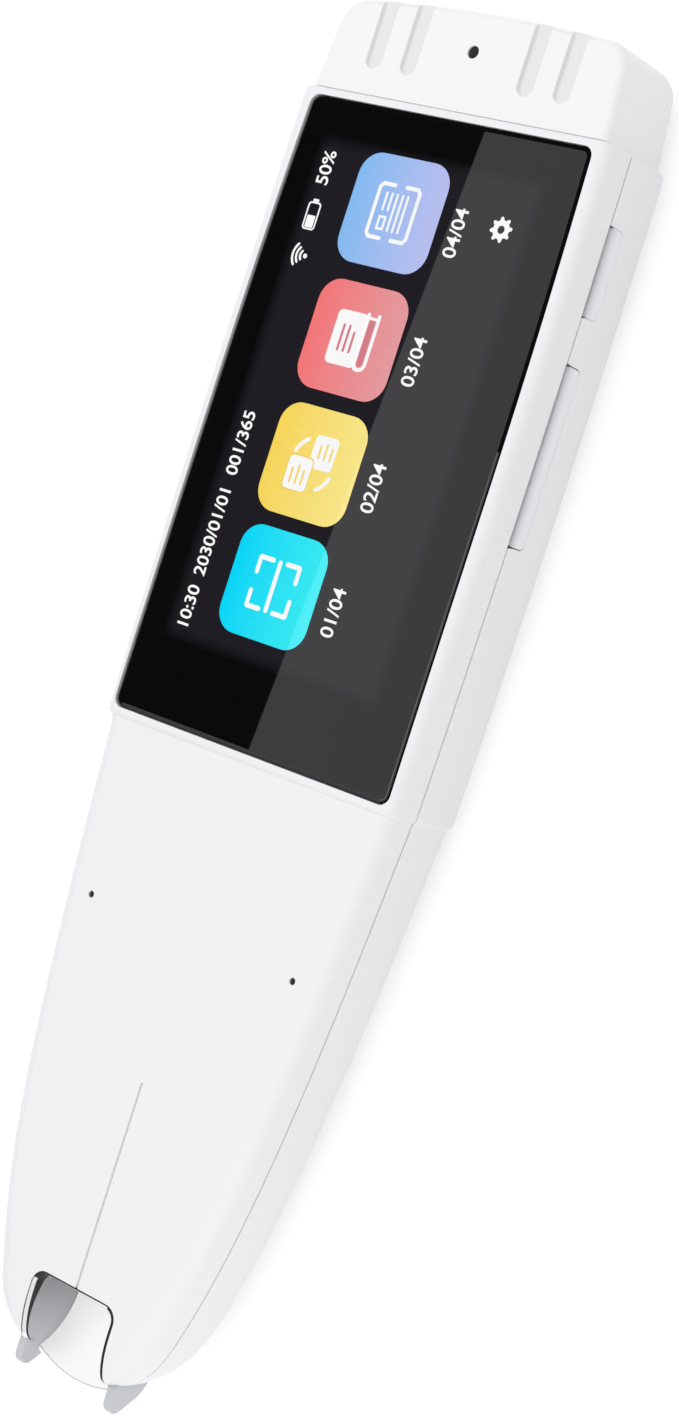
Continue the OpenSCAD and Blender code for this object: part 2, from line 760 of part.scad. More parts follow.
// ---- Handle --------------------------------------------------------------------------------
scan_z = z_seam - 0.55 - board_t;
scan_y = [y_foot - 5, y_foot - 45];
scan_x = [handle_w / 2 - wall - 2.65, nose_w / 2 - wall + 0.35];
scan_holes = [
    [scan_x[0] - 2.7, scan_y[0] - 2.4], [2.7 - scan_x[0], scan_y[0] - 2.4],
    [scan_x[1] - 2.2, scan_y[1] + 9.4], [2.2 - scan_x[1], scan_y[1] + 9.4]
];
mic_x = scan_x[0] - 1.4;
mic_y = y_foot - 18.6;
mic_hole_r = 0.38;
speaker_y = y_foot - 18.4;
speaker_w = 20;
speaker_l = 17;
speaker_t = 3.6;
back_in = back_z(speaker_y - speaker_l / 2) + wall;
gasket_t = 0.4;

module scan_board() {
    side = [[scan_x[0], scan_y[0]], [scan_x[0], mic_y - 3], [scan_x[1], mic_y - 8], [scan_x[1], scan_y[1]]];
    color("darkgreen")
        difference() {
            translate([0, 0, scan_z])
                linear_extrude(board_t)
                    polygon(concat(side, [for (p = reversed(side)) [-p[0], p[1]]]));
            for (p = scan_holes)
                screw_hole(p, scan_z - past, scan_z + board_t + past);
        }
}

module scan_board_screws() {
    color("silver")
        for (p = scan_holes)
            screw(p, scan_z, board_t + 2);
}

// Flat cable from the main board up to the scan board, beside the board's screw
module link_flex() {
    w = 9;
    x = scan_holes[1][0] + head_r + 0.5 + w / 2;
    y_plug = main_y[0] + 1.4;
    y_rise = scan_y[0] + 2;
    color("orange")
        translate([x, 0, 0])
            across(w) {
                translate([y_rise, main_z - flex_t])
                    square([y_plug - y_rise, flex_t]);
                translate([y_rise, main_z - flex_t])
                    square([flex_t, scan_z - main_z]);
                translate([scan_y[0] - 2.6, scan_z - 2 * flex_t])
                    square([y_rise + flex_t - scan_y[0] + 2.6, flex_t]);
            }
}

// Two capsules look out of the handle's front. A third sits on the port and looks out of the cap
mic_h = 1;
mics = [
    [mic_x, mic_y, scan_z + board_t],
    [-mic_x, mic_y, scan_z + board_t],
    [0, cap_hole_y, port_z + port_h / 2]
];
boot_gap = 0.05;
mic_roofs = [front_z(mic_y) - wall, front_z(mic_y) - wall, z_cap[1] - wall];
module microphones() {
    color("gold")
        for (p = mics)
            plate(p, 2.7, 3.5, mic_h, 0.2);
}
// Rubber tubes carry the sound from the holes to the capsules
module mic_boots() {
    color("dimgray")
        for (k = [0 : 2])
            translate(mics[k] + [0, 0, mic_h])
                difference() {
                    cylinder(h = mic_roofs[k] - boot_gap - mics[k][2] - mic_h, r = 1.3);
                    translate([0, 0, -past])
                        cylinder(h = body_t, r = mic_hole_r + 0.1);
                }
}

module speaker_box() {
    color("black")
        plate([0, speaker_y, back_in + gasket_t], speaker_w, speaker_l, speaker_t, 1.5);
}
module speaker_gasket() {
    color("dimgray")
        difference() {
            plate([0, speaker_y, back_in], speaker_w - 1, speaker_l - 1, gasket_t, 1.2);
            plate([0, speaker_y, back_in - past], speaker_w - 4, speaker_l - 4, gasket_t + 2 * past, 1);
        }
}
module speaker_mesh() {
    color("gray")
        plate([0, speaker_y, back_in], speaker_w - 4.2, speaker_l - 4.2, 0.15, 0.9);
}
// Sound holes in the handle's back
module speaker_holes() {
    for (row = [-1 : 1], col = [-3 : 3])
        translate([col * 2.2, speaker_y + row * 2.2, -past])
            cylinder(h = wall + 3, r = 0.5);
}

// ---- Nose ----------------------------------------------------------------------------------
lens_z = 6.5;
camera_y = y_foot - 39.4;
camera_l = 6;
lens_r = 2.2;
lens_l = 4.5;
led_t = 0.6;
led_x = 3.7;
scan_window_y = y_nose + 2;
scan_window_t = 0.8;
liner_w = window_w + 0.1;
liner_t = 0.8;
liner_y = y_tip + 6.4;
liner_z = 4.75;
liner_r = 7.37;
liner_reach = 58.8;
prong_x = liner_w / 2 + run_gap;
passage = [prong_x - 0.2, prong_x + prong_t + 0.2];
prong_top = 10.6;
prong_low = 4.6;
window_y = y_nose + 1.3;
window_r = 1.8;
trim_t = 0.35;
trim_depth = 1.15;

module camera_module() {
    color("dimgray")
        span([-4.2, camera_y - camera_l, lens_z - 1.7], [4.2, camera_y, scan_z]);
}
module lens_barrel() {
    color("black")
        difference() {
            rod_y([0, camera_y - camera_l - lens_l, lens_z], lens_r, lens_l);
            rod_y([0, camera_y - camera_l - lens_l - past, lens_z], 1.3, past + 1.2);
        }
}
module lens_glass() {
    color("lightblue")
        rod_y([0, camera_y - camera_l - lens_l + 0.5, lens_z], 1.3, 0.7);
}
module led_board() {
    color("darkgreen")
        difference() {
            span([-led_x - 0.9, camera_y - camera_l - led_t, 3.7], [led_x + 0.9, camera_y - camera_l, 10.4]);
            rod_y([0, camera_y - camera_l - led_t - past, lens_z], lens_r + pin_gap, led_t + 2 * past);
        }
}
module scan_leds() {
    color("lightyellow")
        for (x = [-1, 1])
            span([x * led_x - 0.8, camera_y - camera_l - led_t - 0.7, 8.2],
                 [x * led_x + 0.8, camera_y - camera_l - led_t, 9.6]);
}
module scan_window() {
    color("lightcyan")
        span([-liner_w / 2, scan_window_y - scan_window_t / 2, liner_z],
             [liner_w / 2, scan_window_y + scan_window_t / 2, front_z(scan_window_y) - wall - 0.05]);
}

// Side view of the liner's sweep, from its flat floor up to the lip
module liner_sweep() {
    translate([liner_y, liner_z + liner_r])
        difference() {
            circle(liner_r + liner_t);
            circle(liner_r);
            translate([0, -2 * liner_r])
                square([2 * liner_r, 4 * liner_r]);
            rotate(90 - liner_reach)
                translate([-3 * liner_r, 0])
                    square([6 * liner_r, 3 * liner_r]);
        }
}
// Everything above the liner's underside, out past the tip
module throat_profile() {
    translate([y_tip - 5, z_seam])
        square([scan_window_y + 1 - y_tip + 5, body_t]);
    translate([liner_y, liner_z - liner_t - gap])
        square([scan_window_y + 1 - liner_y, z_seam]);
    translate([liner_y, liner_z + liner_r])
        circle(liner_r + liner_t + gap);
}

module scan_liner() {
    color("white") {
        span([-liner_w / 2, liner_y, liner_z - liner_t], [liner_w / 2, scan_window_y + 1, liner_z]);
        across(liner_w)
            liner_sweep();
    }
}

// The aiming window's outline, with its rim drawn out by d, open at the tip
module window_shape(d) {
    w = window_w / 2 + d;
    r = window_r + d;
    translate([-w, y_tip - 5])
        square([2 * w, window_y + d - r - y_tip + 5]);
    translate([-w + r, y_tip])
        square([2 * (w - r), window_y + d - y_tip]);
    for (x = [-1, 1])
        translate([x * (w - r), window_y + d - r])
            circle(r);
}

module window_trim() {
    color("silver")
        intersection() {
            handle_front(0.05);
            translate([0, 0, front_z(window_y) - trim_depth])
                linear_extrude(3)
                    difference() {
                        window_shape(trim_t);
                        window_shape(0);
                        translate([-window_w, y_tip - 6])
                            square([2 * window_w, 7]);
                    }
        }
}

// Side view of a prong, from its tip back into the nose
module prong_profile() {
    y_out = y_tip - prong_out;
    difference() {
        polygon([
            [y_out + 1.2, prong_top], [y_out, prong_top - 1.2], [y_out + 0.3, prong_top - 2],
            [y_out + 1.6, prong_low + 2], [y_out + 2.9, prong_low + 0.95], [y_out + 4.2, prong_low + 0.4],
            [y_out + 7.8, prong_low], [y_nose + 5.6, prong_low - 0.6], [y_nose + 8, prong_low - 0.6],
            [y_nose + 8, prong_low + 2.6], [y_nose + 6, prong_low + 3], [y_nose + 4, prong_top]]);
        // Rounds the corner between the front edge and the tip
        translate([y_out, prong_top - 1.2])
            difference() {
                square([1.2, 1.3]);
                translate([1.2, 0])
                    circle(1.2);
            }
    }
}

pad_w = 2.4;
bridge_y = y_nose + 5.6;
module nib_fork() {
    color("darkgray") {
        for (x = [-1, 1]) {
            translate([x * (prong_x + prong_t / 2), 0, 0])
                across(prong_t)
                    prong_profile();
            span([x * (prong_x + prong_t / 2) - pad_w / 2, bridge_y + 1.4, prong_low - 0.6],
                 [x * (prong_x + prong_t / 2) + pad_w / 2, bridge_y + 2.4, prong_low + 2.4]);
        }
        // Bridge under the light path that joins the two prongs
        span([-prong_x - prong_t, bridge_y, prong_low - 0.6],
             [prong_x + prong_t, bridge_y + 1, prong_low + 0.2]);
    }
}

// The switch on one side and the spring on the other stand on a rib of the rear housing
nib_x = prong_x + prong_t / 2;
pad_y = bridge_y + 2.4;
rib_y = pad_y + 4.5;
nib_z = prong_low + 0.9;
module nib_switch() {
    color("dimgray") {
        span([nib_x - 1.5, rib_y - 1.6, nib_z - 1.3], [nib_x + 1.5, rib_y, nib_z + 1.3]);
        rod_y([nib_x, pad_y + fork_travel + 0.05, nib_z], 0.6, rib_y - 1.6 - pad_y - fork_travel);
    }
}
module nib_spring() {
    coil_r = 0.9;
    wire_r = 0.2;
    turns = 4.5;
    start_y = pad_y + wire_r + 0.05;
    pitch = (rib_y - wire_r - 0.05 - start_y) / turns;
    color("silver")
        skin([for (a = [0 : 24 : 360 * turns])
            [for (b = [0 : 60 : 300])
                let (r = coil_r + wire_r * cos(b))
                [r * cos(a) - nib_x, start_y + pitch * a / 360 + wire_r * sin(b), nib_z + r * sin(a)]]]);
}

// ---- Housings ------------------------------------------------------------------------------
lip_h = 0.8;
lip_d = wall / 2;
aim_groove_y = y_foot - 34.4;

// Ways through the nose for the two prongs
module prong_passages() {
    for (x = [-1, 1])
        translate([x * (passage[0] + passage[1]) / 2, 0, 0])
            across(passage[1] - passage[0])
                translate([y_tip - 5, prong_low - run_gap])
                    square([y_nose - y_tip + 12, prong_top - prong_low + 2 * run_gap]);
}

module front_housing() {
    color("whitesmoke")
        difference() {
            union() {
                difference() {
                    half_shell(true);
                    // Rebate for the rear housing's lip
                    translate([0, 0, z_seam - past])
                        linear_extrude(lip_h + gap + past)
                            outline(lip_d);
                    // Seat of the glass and way through for the panel
                    translate([0, 0, z_ledge])
                        linear_extrude(past + 2)
                            glass_outline(glass_gap);
                    plate(panel_at + [0, 0, z_seam], panel_w + 0.3, panel_l + 0.3, body_t, 0.5);
                    for (x = [-1, 1])
                        translate([x * mic_x, mic_y, z_seam + 1])
                            cylinder(h = front_t, r = mic_hole_r);
                    // End opening for the cap's spigot
                    span([-spigot_w / 2 - gap, y_end - wall - past, z_seam - past],
                         [spigot_w / 2 + gap, y_end + past, spigot_z[1] + gap]);
                    // Aiming window, nose passages and the fine line that leads to the window
                    translate([0, 0, z_seam - past])
                        linear_extrude(front_t + past)
                            window_shape(trim_t + 0.03);
                    prong_passages();
                    aim_groove();
                }
                // Bosses for the chassis screws and the scan board
                for (x = [-1, 1])
                    translate([x * chassis_hole[0], chassis_hole[1], z_chassis + chassis_t])
                        cylinder(h = body_t - front_wall - z_chassis - chassis_t + 0.2, r = 1.9);
                for (p = scan_holes)
                    translate([p[0], p[1], scan_z + board_t])
                        cylinder(h = front_z(p[1]) - wall - scan_z - board_t + 0.2, r = boss_r);
            }
            for (x = [-1, 1])
                screw_hole([x * chassis_hole[0], chassis_hole[1]], z_chassis, z_ledge - 0.35);
            for (p = scan_holes)
                screw_hole(p, scan_z, scan_z + board_t + 2.1);
        }
}

module aim_groove() {
    low = [for (y = [aim_groove_y, window_y]) [y, front_z(y) - 0.25]];
    across(0.3)
        polygon([low[0], low[1], low[1] + [0, 2], low[0] + [0, 2]]);
}

module rear_housing() {
    color("white")
        difference() {
            union() {
                half_shell(false);
                // Locating lip
                translate([0, 0, z_seam - 0.5])
                    linear_extrude(lip_h + 0.5)
                        difference() {
                            outline(lip_d + gap);
                            outline(wall - 0.15);
                        }
                // Ribs that hold the nib switch and the spring
                for (x = [-1, 1])
                    span([x * nib_x - 1.6, rib_y, back_z(rib_y) + 0.5],
                         [x * nib_x + 1.6, rib_y + 1, nib_z + 1.6]);
            }
            button_slot(power_y, power_l);
            button_slot(rocker_y, rocker_l);
            span([-spigot_w / 2 - gap, y_end - wall - past, spigot_z[0] - gap],
                 [spigot_w / 2 + gap, y_end + past, z_seam + past]);
            speaker_holes();
            // Room for the liner and the light path, then the prongs
            across(liner_w + 2 * gap)
                throat_profile();
            prong_passages();
        }
}

front_housing();
rear_housing();
end_cap();
cover_glass();
glass_tape();
display_panel();
backlight_tray();
display_flex();
chassis();
chassis_screws();
main_board();
board_screws();
shield_cans();
board_chips();
battery();
battery_tape();
battery_plug();
antenna();
key_bracket();
key_board();
key_switches();
power_button();
volume_rocker();
rocker_pin();
usb_shell();
usb_tongue();
scan_board();
scan_board_screws();
link_flex();
microphones();
mic_boots();
speaker_box();
speaker_gasket();
speaker_mesh();
camera_module();
lens_barrel();
lens_glass();
led_board();
scan_leds();
scan_window();
scan_liner();
window_trim();
nib_fork();
nib_spring();
nib_switch();
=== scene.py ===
"""Looks of a handheld scanning translator: a slab pen with a display, side keys, a cap and a fork.

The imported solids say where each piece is. Sizes here are in millimetres, in the pen's own frame:
+Z is the way the display faces, +Y points to the end cap and +X is the side with the keys.
"""

import logging
import math
from collections.abc import Callable, Sequence
from dataclasses import dataclass
from enum import Enum

import bmesh
import bpy
from mathutils import Matrix, Vector


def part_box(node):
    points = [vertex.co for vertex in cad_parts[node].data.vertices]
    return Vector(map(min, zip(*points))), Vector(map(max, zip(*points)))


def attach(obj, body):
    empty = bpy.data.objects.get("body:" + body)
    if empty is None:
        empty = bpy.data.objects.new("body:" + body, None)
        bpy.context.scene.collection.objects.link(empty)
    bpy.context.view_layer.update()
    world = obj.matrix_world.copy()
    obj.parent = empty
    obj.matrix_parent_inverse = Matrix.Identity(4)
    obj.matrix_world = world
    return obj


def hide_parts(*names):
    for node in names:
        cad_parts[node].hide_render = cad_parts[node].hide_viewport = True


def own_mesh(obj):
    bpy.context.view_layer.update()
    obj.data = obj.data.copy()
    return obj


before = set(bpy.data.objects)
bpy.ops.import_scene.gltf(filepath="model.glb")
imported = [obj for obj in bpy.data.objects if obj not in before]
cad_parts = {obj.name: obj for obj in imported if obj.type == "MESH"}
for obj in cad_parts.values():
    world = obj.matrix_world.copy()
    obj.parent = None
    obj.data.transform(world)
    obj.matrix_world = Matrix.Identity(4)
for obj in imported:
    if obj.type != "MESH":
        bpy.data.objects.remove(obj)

log = logging.getLogger("pen")

MM = 0.001
Point = tuple[float, float, float]
Flat = tuple[float, float]
Colour = tuple[float, float, float]
Ring = list[Point]
Thing = bpy.types.Object
Material = bpy.types.Material
Socket = bpy.types.NodeSocket
EVEN: Point = (1.0, 1.0, 1.0)


class Body(Enum):
    """The parts of the pen that move as one."""

    PEN = "pen_body"
    POWER = "power_key"
    VOLUME = "volume_key"
    NIB = "nib"


class Half(Enum):
    """The two mouldings of the pen, by which side of the seam they are on."""

    FRONT = 1
    REAR = -1


class Cut(Enum):
    """What a second solid does to the first."""

    TAKE = "DIFFERENCE"
    ADD = "UNION"
    KEEP = "INTERSECT"


# ---- Lines ----


def arc(centre: Flat, radius: float, start: float, end: float, steps: int) -> list[Flat]:
    """Points along an arc, between two angles in degrees, at the ends of its steps."""
    turns = [math.radians(start + (end - start) * k / steps) for k in range(steps + 1)]
    return [(centre[0] + radius * math.cos(a), centre[1] + radius * math.sin(a)) for a in turns]


def circle(centre: Flat, radius: float, steps: int = 32) -> list[Flat]:
    """The points of a circle."""
    return arc(centre, radius, 0, 360, steps)[:-1]


def round_rect(
    width: float, length: float, radius: float, centre: Flat = (0.0, 0.0), steps: int = 8
) -> list[Flat]:
    """The outline of a rectangle with round corners, anticlockwise.

    Args:
        width: Size along the first axis.
        length: Size along the second axis.
        radius: Radius of the corners.
        centre: The rectangle's centre.
        steps: Steps in each corner.

    Returns:
        The outline's points.
    """
    points: list[Flat] = []
    for side, end, start in ((1, 1, 0), (-1, 1, 90), (-1, -1, 180), (1, -1, 270)):
        corner = (centre[0] + side * (width / 2 - radius), centre[1] + end * (length / 2 - radius))
        points += arc(corner, radius, start, start + 90, steps)
    return points


def both_sides(right: Sequence[Flat]) -> list[Flat]:
    """A line on the right, followed back along its mirror image on the left."""
    return [*right, *((-x, y) for x, y in reversed(right) if x > 0)]


def easing(radius: float, steps: int) -> list[Flat]:
    """A quarter round from the side to the face, as pairs: how far in it is, and how far down."""
    turns = [math.pi / 2 * k / steps for k in range(steps + 1)]
    return [(radius * (1 - math.cos(a)), radius * (1 - math.sin(a))) for a in turns]


def clamp(value: float, low: float = 0.0, high: float = 1.0) -> float:
    """A value kept between two limits."""
    return max(low, min(high, value))


# ---- Shaping ----


def new_object(name: str, data: bpy.types.ID) -> Thing:
    """Puts a new object in the scene.

    Args:
        name: The object's name.
        data: Its mesh, text, light or camera.

    Returns:
        The new object.
    """
    thing = bpy.data.objects.new(name, data)
    bpy.context.scene.collection.objects.link(thing)
    return thing


def solid(
    name: str, points: Sequence[Point], faces: Sequence[Sequence[int]], finishes: Sequence[int] = ()
) -> Thing:
    """A closed mesh with its faces turned outwards, still in millimetres.

    Args:
        name: The object's name.
        points: The vertices.
        faces: The faces, as indices into the points.
        finishes: The number of each face's material, where there is more than one.

    Returns:
        The new object.
    """
    mesh = bpy.data.meshes.new(name)
    mesh.from_pydata(list(points), [], list(faces))
    if finishes:
        mesh.polygons.foreach_set("material_index", list(finishes))
    shell = bmesh.new()
    shell.from_mesh(mesh)
    bmesh.ops.remove_doubles(shell, verts=shell.verts, dist=1e-5)
    bmesh.ops.recalc_face_normals(shell, faces=shell.faces)
    if shell.calc_volume(signed=True) < 0:
        bmesh.ops.reverse_faces(shell, faces=shell.faces)
    shell.to_mesh(mesh)
    shell.free()
    return new_object(name, mesh)


def skin(
    name: str, rings: Sequence[Sequence[Point]], finish: Callable[[int, Vector], int] | None = None
) -> Thing:
    """A closed solid through equal rings of points.

    Args:
        name: The object's name.
        rings: The rings, all with the same number of points.
        finish: Gives the number of a face's material from its place in the ring, -1 at the ends,
            and its middle.

    Returns:
        The new object.
    """
    count = len(rings[0])
    last = (len(rings) - 1) * count
    points = [p for ring in rings for p in ring]
    faces: list[list[int]] = [list(range(count)), list(range(last, last + count))]
    finishes = [finish(-1, Vector(points[at])) if finish else 0 for at in (0, last)]
    for row in range(len(rings) - 1):
        for k in range(count):
            a, b = row * count + k, row * count + (k + 1) % count
            faces.append([a, b, b + count, a + count])
            middle = sum((Vector(points[i]) for i in faces[-1]), Vector()) / 4
            finishes.append(finish(k, middle) if finish else 0)
    return solid(name, points, faces, finishes)


def prism(name: str, outline: Sequence[Flat], low: float, high: float, axis: str = "z") -> Thing:
    """A flat outline drawn out along an axis.

    Args:
        name: The object's name.
        outline: The outline's points: x, y along z, or y, z along x, or x, z along y.
        low: Where the prism starts on its axis.
        high: Where it ends.
        axis: The axis it is drawn along.

    Returns:
        The new object.
    """
    place: dict[str, Callable[[Flat, float], Point]] = {
        "z": lambda p, h: (p[0], p[1], h),
        "x": lambda p, h: (h, p[0], p[1]),
        "y": lambda p, h: (p[0], h, p[1]),
    }
    return skin(name, [[place[axis](p, h) for p in outline] for h in (low, high)])


def block(name: str, low: Point, high: Point) -> Thing:
    """A box from its lowest to its highest corner."""
    outline = [(low[0], low[1]), (high[0], low[1]), (high[0], high[1]), (low[0], high[1])]
    return prism(name, outline, low[2], high[2])


def rod(name: str, centre: Flat, radius: float, low: float, high: float, axis: str = "z") -> Thing:
    """A round rod along an axis, given as prism gives it."""
    return prism(name, circle(centre, radius), low, high, axis)


def plain(thing: Thing) -> Thing:
    """Turns an object and its modifiers into a plain mesh.

    Args:
        thing: The object.

    Returns:
        The same object.
    """
    bpy.context.view_layer.update()
    shaped = thing.evaluated_get(bpy.context.evaluated_depsgraph_get())
    done = bpy.data.meshes.new_from_object(shaped)
    thing.modifiers.clear()
    thing.data = done
    return thing


def combine(thing: Thing, others: Sequence[Thing], cut: Cut) -> Thing:
    """Cuts, adds or keeps solids, and throws the second ones away.

    Args:
        thing: The solid that stays.
        others: The solids that change it.
        cut: What they do.

    Returns:
        The changed solid.
    """
    for other in others:
        change = thing.modifiers.new("change", "BOOLEAN")
        change.operation = cut.value
        change.solver = "MANIFOLD"
        change.object = other
        plain(thing)
        bpy.data.objects.remove(other)
    return thing


def soften(thing: Thing, width: float) -> Thing:
    """Rounds the sharp edges of a solid.

    Args:
        thing: The solid.
        width: Width of the rounding.

    Returns:
        The same object.
    """
    change = thing.modifiers.new("soften", "BEVEL")
    change.width = width
    change.segments = 3
    change.limit_method = "ANGLE"
    change.angle_limit = math.radians(30)
    return plain(thing)


def join_loose(name: str, things: Sequence[Thing], material: Material) -> Thing:
    """Joins objects into one mesh of one material, without changing their shapes.

    Args:
        name: The new object's name.
        things: The objects, which are thrown away.
        material: The material.

    Returns:
        The new object.
    """
    whole = bmesh.new()
    for thing in things:
        whole.from_mesh(thing.data)
        bpy.data.objects.remove(thing)
    mesh = bpy.data.meshes.new(name)
    whole.to_mesh(mesh)
    whole.free()
    mesh.polygons.foreach_set("material_index", [0] * len(mesh.polygons))
    return clad(new_object(name, mesh), material)


def clad(thing: Thing, *materials: Material) -> Thing:
    """Gives a piece its materials, in the order of their numbers on its faces.

    Args:
        thing: The piece.
        materials: The materials.

    Returns:
        The same object.
    """
    if thing.data.materials:
        thing.data.materials.clear()
    for material in materials:
        thing.data.materials.append(material)
    return thing


def finish_piece(
    thing: Thing, body: Body, nodes: Sequence[str] = (), angle: float = 32
) -> None:
    """Puts a clad piece on the pen: metres, shading, body and the node it stands for.

    Args:
        thing: The piece, in millimetres.
        body: The body it rides on.
        nodes: The solids that it replaces.
        angle: Edges sharper than this stay sharp, in degrees.
    """
    mesh = thing.data
    mesh.transform(Matrix.Scale(MM, 4))
    mesh.shade_smooth()
    mesh.set_sharp_from_angle(angle=math.radians(angle))
    thing.modifiers.new("even", "WEIGHTED_NORMAL").keep_sharp = True
    plain(thing)
    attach(thing, body.value)
    if nodes:
        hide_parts(*nodes)
    log.info("%s: %d faces, rides on %s", thing.name, len(thing.data.polygons), body.value)


# ---- Rules for what repeats ----


class Tree:
    """A node tree while it is put together."""

    def __init__(self, tree: bpy.types.NodeTree) -> None:
        """Takes up a tree."""
        self.tree = tree

    def node(self, kind: str, **settings: object) -> bpy.types.Node:
        """Adds a node.

        Args:
            kind: The node's type.
            settings: Values of its inputs, where it has one of that name, or its properties.

        Returns:
            The node.
        """
        made = self.tree.nodes.new(kind)
        for key, value in settings.items():
            label = key.replace("_", " ").title()
            if label in made.inputs:
                made.inputs[label].default_value = value
            else:
                setattr(made, key, value)
        return made

    def join(self, source: Socket, target: Socket) -> None:
        """Links two sockets."""
        self.tree.links.new(source, target)

    def sum(self, kind: str, first: Socket, second: Socket | float) -> Socket:
        """Works out a number from two.

        Args:
            kind: The kind of sum, such as MULTIPLY.
            first: The first number's socket.
            second: The second number, or its socket.

        Returns:
            The result's socket.
        """
        made = self.node("ShaderNodeMath", operation=kind)
        self.join(first, made.inputs[0])
        if isinstance(second, Socket):
            self.join(second, made.inputs[1])
        else:
            made.inputs[1].default_value = second
        return made.outputs[0]

    def spread(
        self, value: Socket, low: float, high: float, start: float = 0.0, end: float = 1.0
    ) -> Socket:
        """Maps a value to a range.

        Args:
            value: The value.
            low: The result at the start.
            high: The result at the end.
            start: Lowest value.
            end: Highest value.

        Returns:
            The mapped value's socket.
        """
        limits = {"from_min": start, "from_max": end, "to_min": low, "to_max": high}
        made = self.node("ShaderNodeMapRange", **limits)
        self.join(value, made.inputs["Value"])
        return made.outputs[0]


class Rule(Tree):
    """A geometry node tree with named sizes, which is run once and turned into a plain mesh."""

    def __init__(self, name: str) -> None:
        """Starts an empty tree.

        Args:
            name: The tree's name.
        """
        super().__init__(bpy.data.node_groups.new(name, "GeometryNodeTree"))
        self.interface = self.tree.interface
        self.interface.new_socket("Geometry", in_out="OUTPUT", socket_type="NodeSocketGeometry")
        self.entry, self.exit = self.node("NodeGroupInput"), self.node("NodeGroupOutput")
        self.sizes: list[tuple[str, float | int]] = []

    def size(self, label: str, value: float | int, *targets: Socket) -> Socket:
        """Adds a named input.

        Args:
            label: The input's name.
            value: The value it is given.
            targets: Sockets that it feeds.

        Returns:
            The socket to link from.
        """
        kind = "NodeSocketInt" if isinstance(value, int) else "NodeSocketFloat"
        socket = self.interface.new_socket(label, in_out="INPUT", socket_type=kind)
        self.sizes.append((socket.identifier, value))
        for target in targets:
            self.join(self.entry.outputs[label], target)
        return self.entry.outputs[label]

    def vector(self, label: str, values: Point, target: Socket) -> None:
        """Adds three named inputs that feed a vector socket.

        Args:
            label: What the names start with.
            values: The values along x, y and z.
            target: The socket that they feed.
        """
        parts = self.node("ShaderNodeCombineXYZ")
        for axis, value in zip("XYZ", values):
            self.size(label + " " + axis, float(value), parts.inputs[axis])
        self.join(parts.outputs[0], target)

    def repeat(self, places: Socket, piece: Socket) -> Socket:
        """Puts a piece on each of a row or grid of points.

        Args:
            places: The points.
            piece: What is put on them.

        Returns:
            The pieces' socket.
        """
        made = self.node("GeometryNodeInstanceOnPoints")
        self.join(places, made.inputs["Points"])
        self.join(piece, made.inputs["Instance"])
        return made.outputs[0]

    def run(self, name: str, source: Socket, material: Material) -> Thing:
        """Ends the tree, runs it and gives its result as a plain mesh, in millimetres.

        Args:
            name: The new object's name.
            source: The socket that gives the geometry.
            material: The material it ends in.

        Returns:
            The new object.
        """
        real = self.node("GeometryNodeRealizeInstances")
        dress = self.node("GeometryNodeSetMaterial", material=material)
        self.join(source, real.inputs[0])
        self.join(real.outputs[0], dress.inputs["Geometry"])
        self.join(dress.outputs[0], self.exit.inputs[0])
        thing = new_object(name, bpy.data.meshes.new(name))
        rule = thing.modifiers.new("rule", "NODES")
        rule.node_group = self.tree
        for identifier, value in self.sizes:
            rule[identifier] = value
        return plain(thing)


@dataclass(frozen=True)
class Coil:
    """A coil spring that starts at the origin and winds along +Y."""

    turns: float
    radius: float
    wire: float
    length: float
    path_steps: int = 40
    wire_sides: int = 12

    def build(self, name: str, material: Material) -> Thing:
        """Builds the spring.

        Args:
            name: The object's name.
            material: The wire's finish.

        Returns:
            The new object.
        """
        rule = Rule("coil_rule")
        path = rule.node("GeometryNodeCurveSpiral", resolution=self.path_steps)
        ends = path.inputs["Start Radius"], path.inputs["End Radius"]
        rule.size("Turns", self.turns, path.inputs["Rotations"])
        rule.size("Coil radius", self.radius, *ends)
        rule.size("Length", self.length, path.inputs["Height"])
        section = rule.node("GeometryNodeCurvePrimitiveCircle", resolution=self.wire_sides)
        rule.size("Wire radius", self.wire, section.inputs["Radius"])
        sweep = rule.node("GeometryNodeCurveToMesh", fill_caps=True)
        rule.join(path.outputs[0], sweep.inputs["Curve"])
        rule.join(section.outputs[0], sweep.inputs["Profile Curve"])
        turn = rule.node("GeometryNodeTransform", rotation=(math.radians(-90), 0, 0))
        rule.join(sweep.outputs[0], turn.inputs[0])
        return rule.run(name, turn.outputs[0], material)


@dataclass(frozen=True)
class PinField:
    """A field of upright pins, centred on the origin, such as those that mould a group of holes."""

    columns: int
    rows: int
    pitch: float
    radius: float
    depth: float
    sides: int = 24

    def build(self, name: str, material: Material) -> Thing:
        """Builds the pins.

        Args:
            name: The object's name.
            material: Their finish.

        Returns:
            The new object.
        """
        rule = Rule("pin_field_rule")
        pitch = rule.size("Pitch", self.pitch)
        grid = rule.node("GeometryNodeMeshGrid")
        for axis, count in (("X", self.columns), ("Y", self.rows)):
            pins = rule.size("Pins along " + axis, count, grid.inputs["Vertices " + axis])
            span = rule.sum("MULTIPLY", rule.sum("SUBTRACT", pins, 1.0), pitch)
            rule.join(span, grid.inputs["Size " + axis])
        pin = rule.node("GeometryNodeMeshCylinder", vertices=self.sides)
        rule.size("Radius", self.radius, pin.inputs["Radius"])
        rule.size("Depth", self.depth, pin.inputs["Depth"])
        return rule.run(name, rule.repeat(grid.outputs[0], pin.outputs["Mesh"]), material)


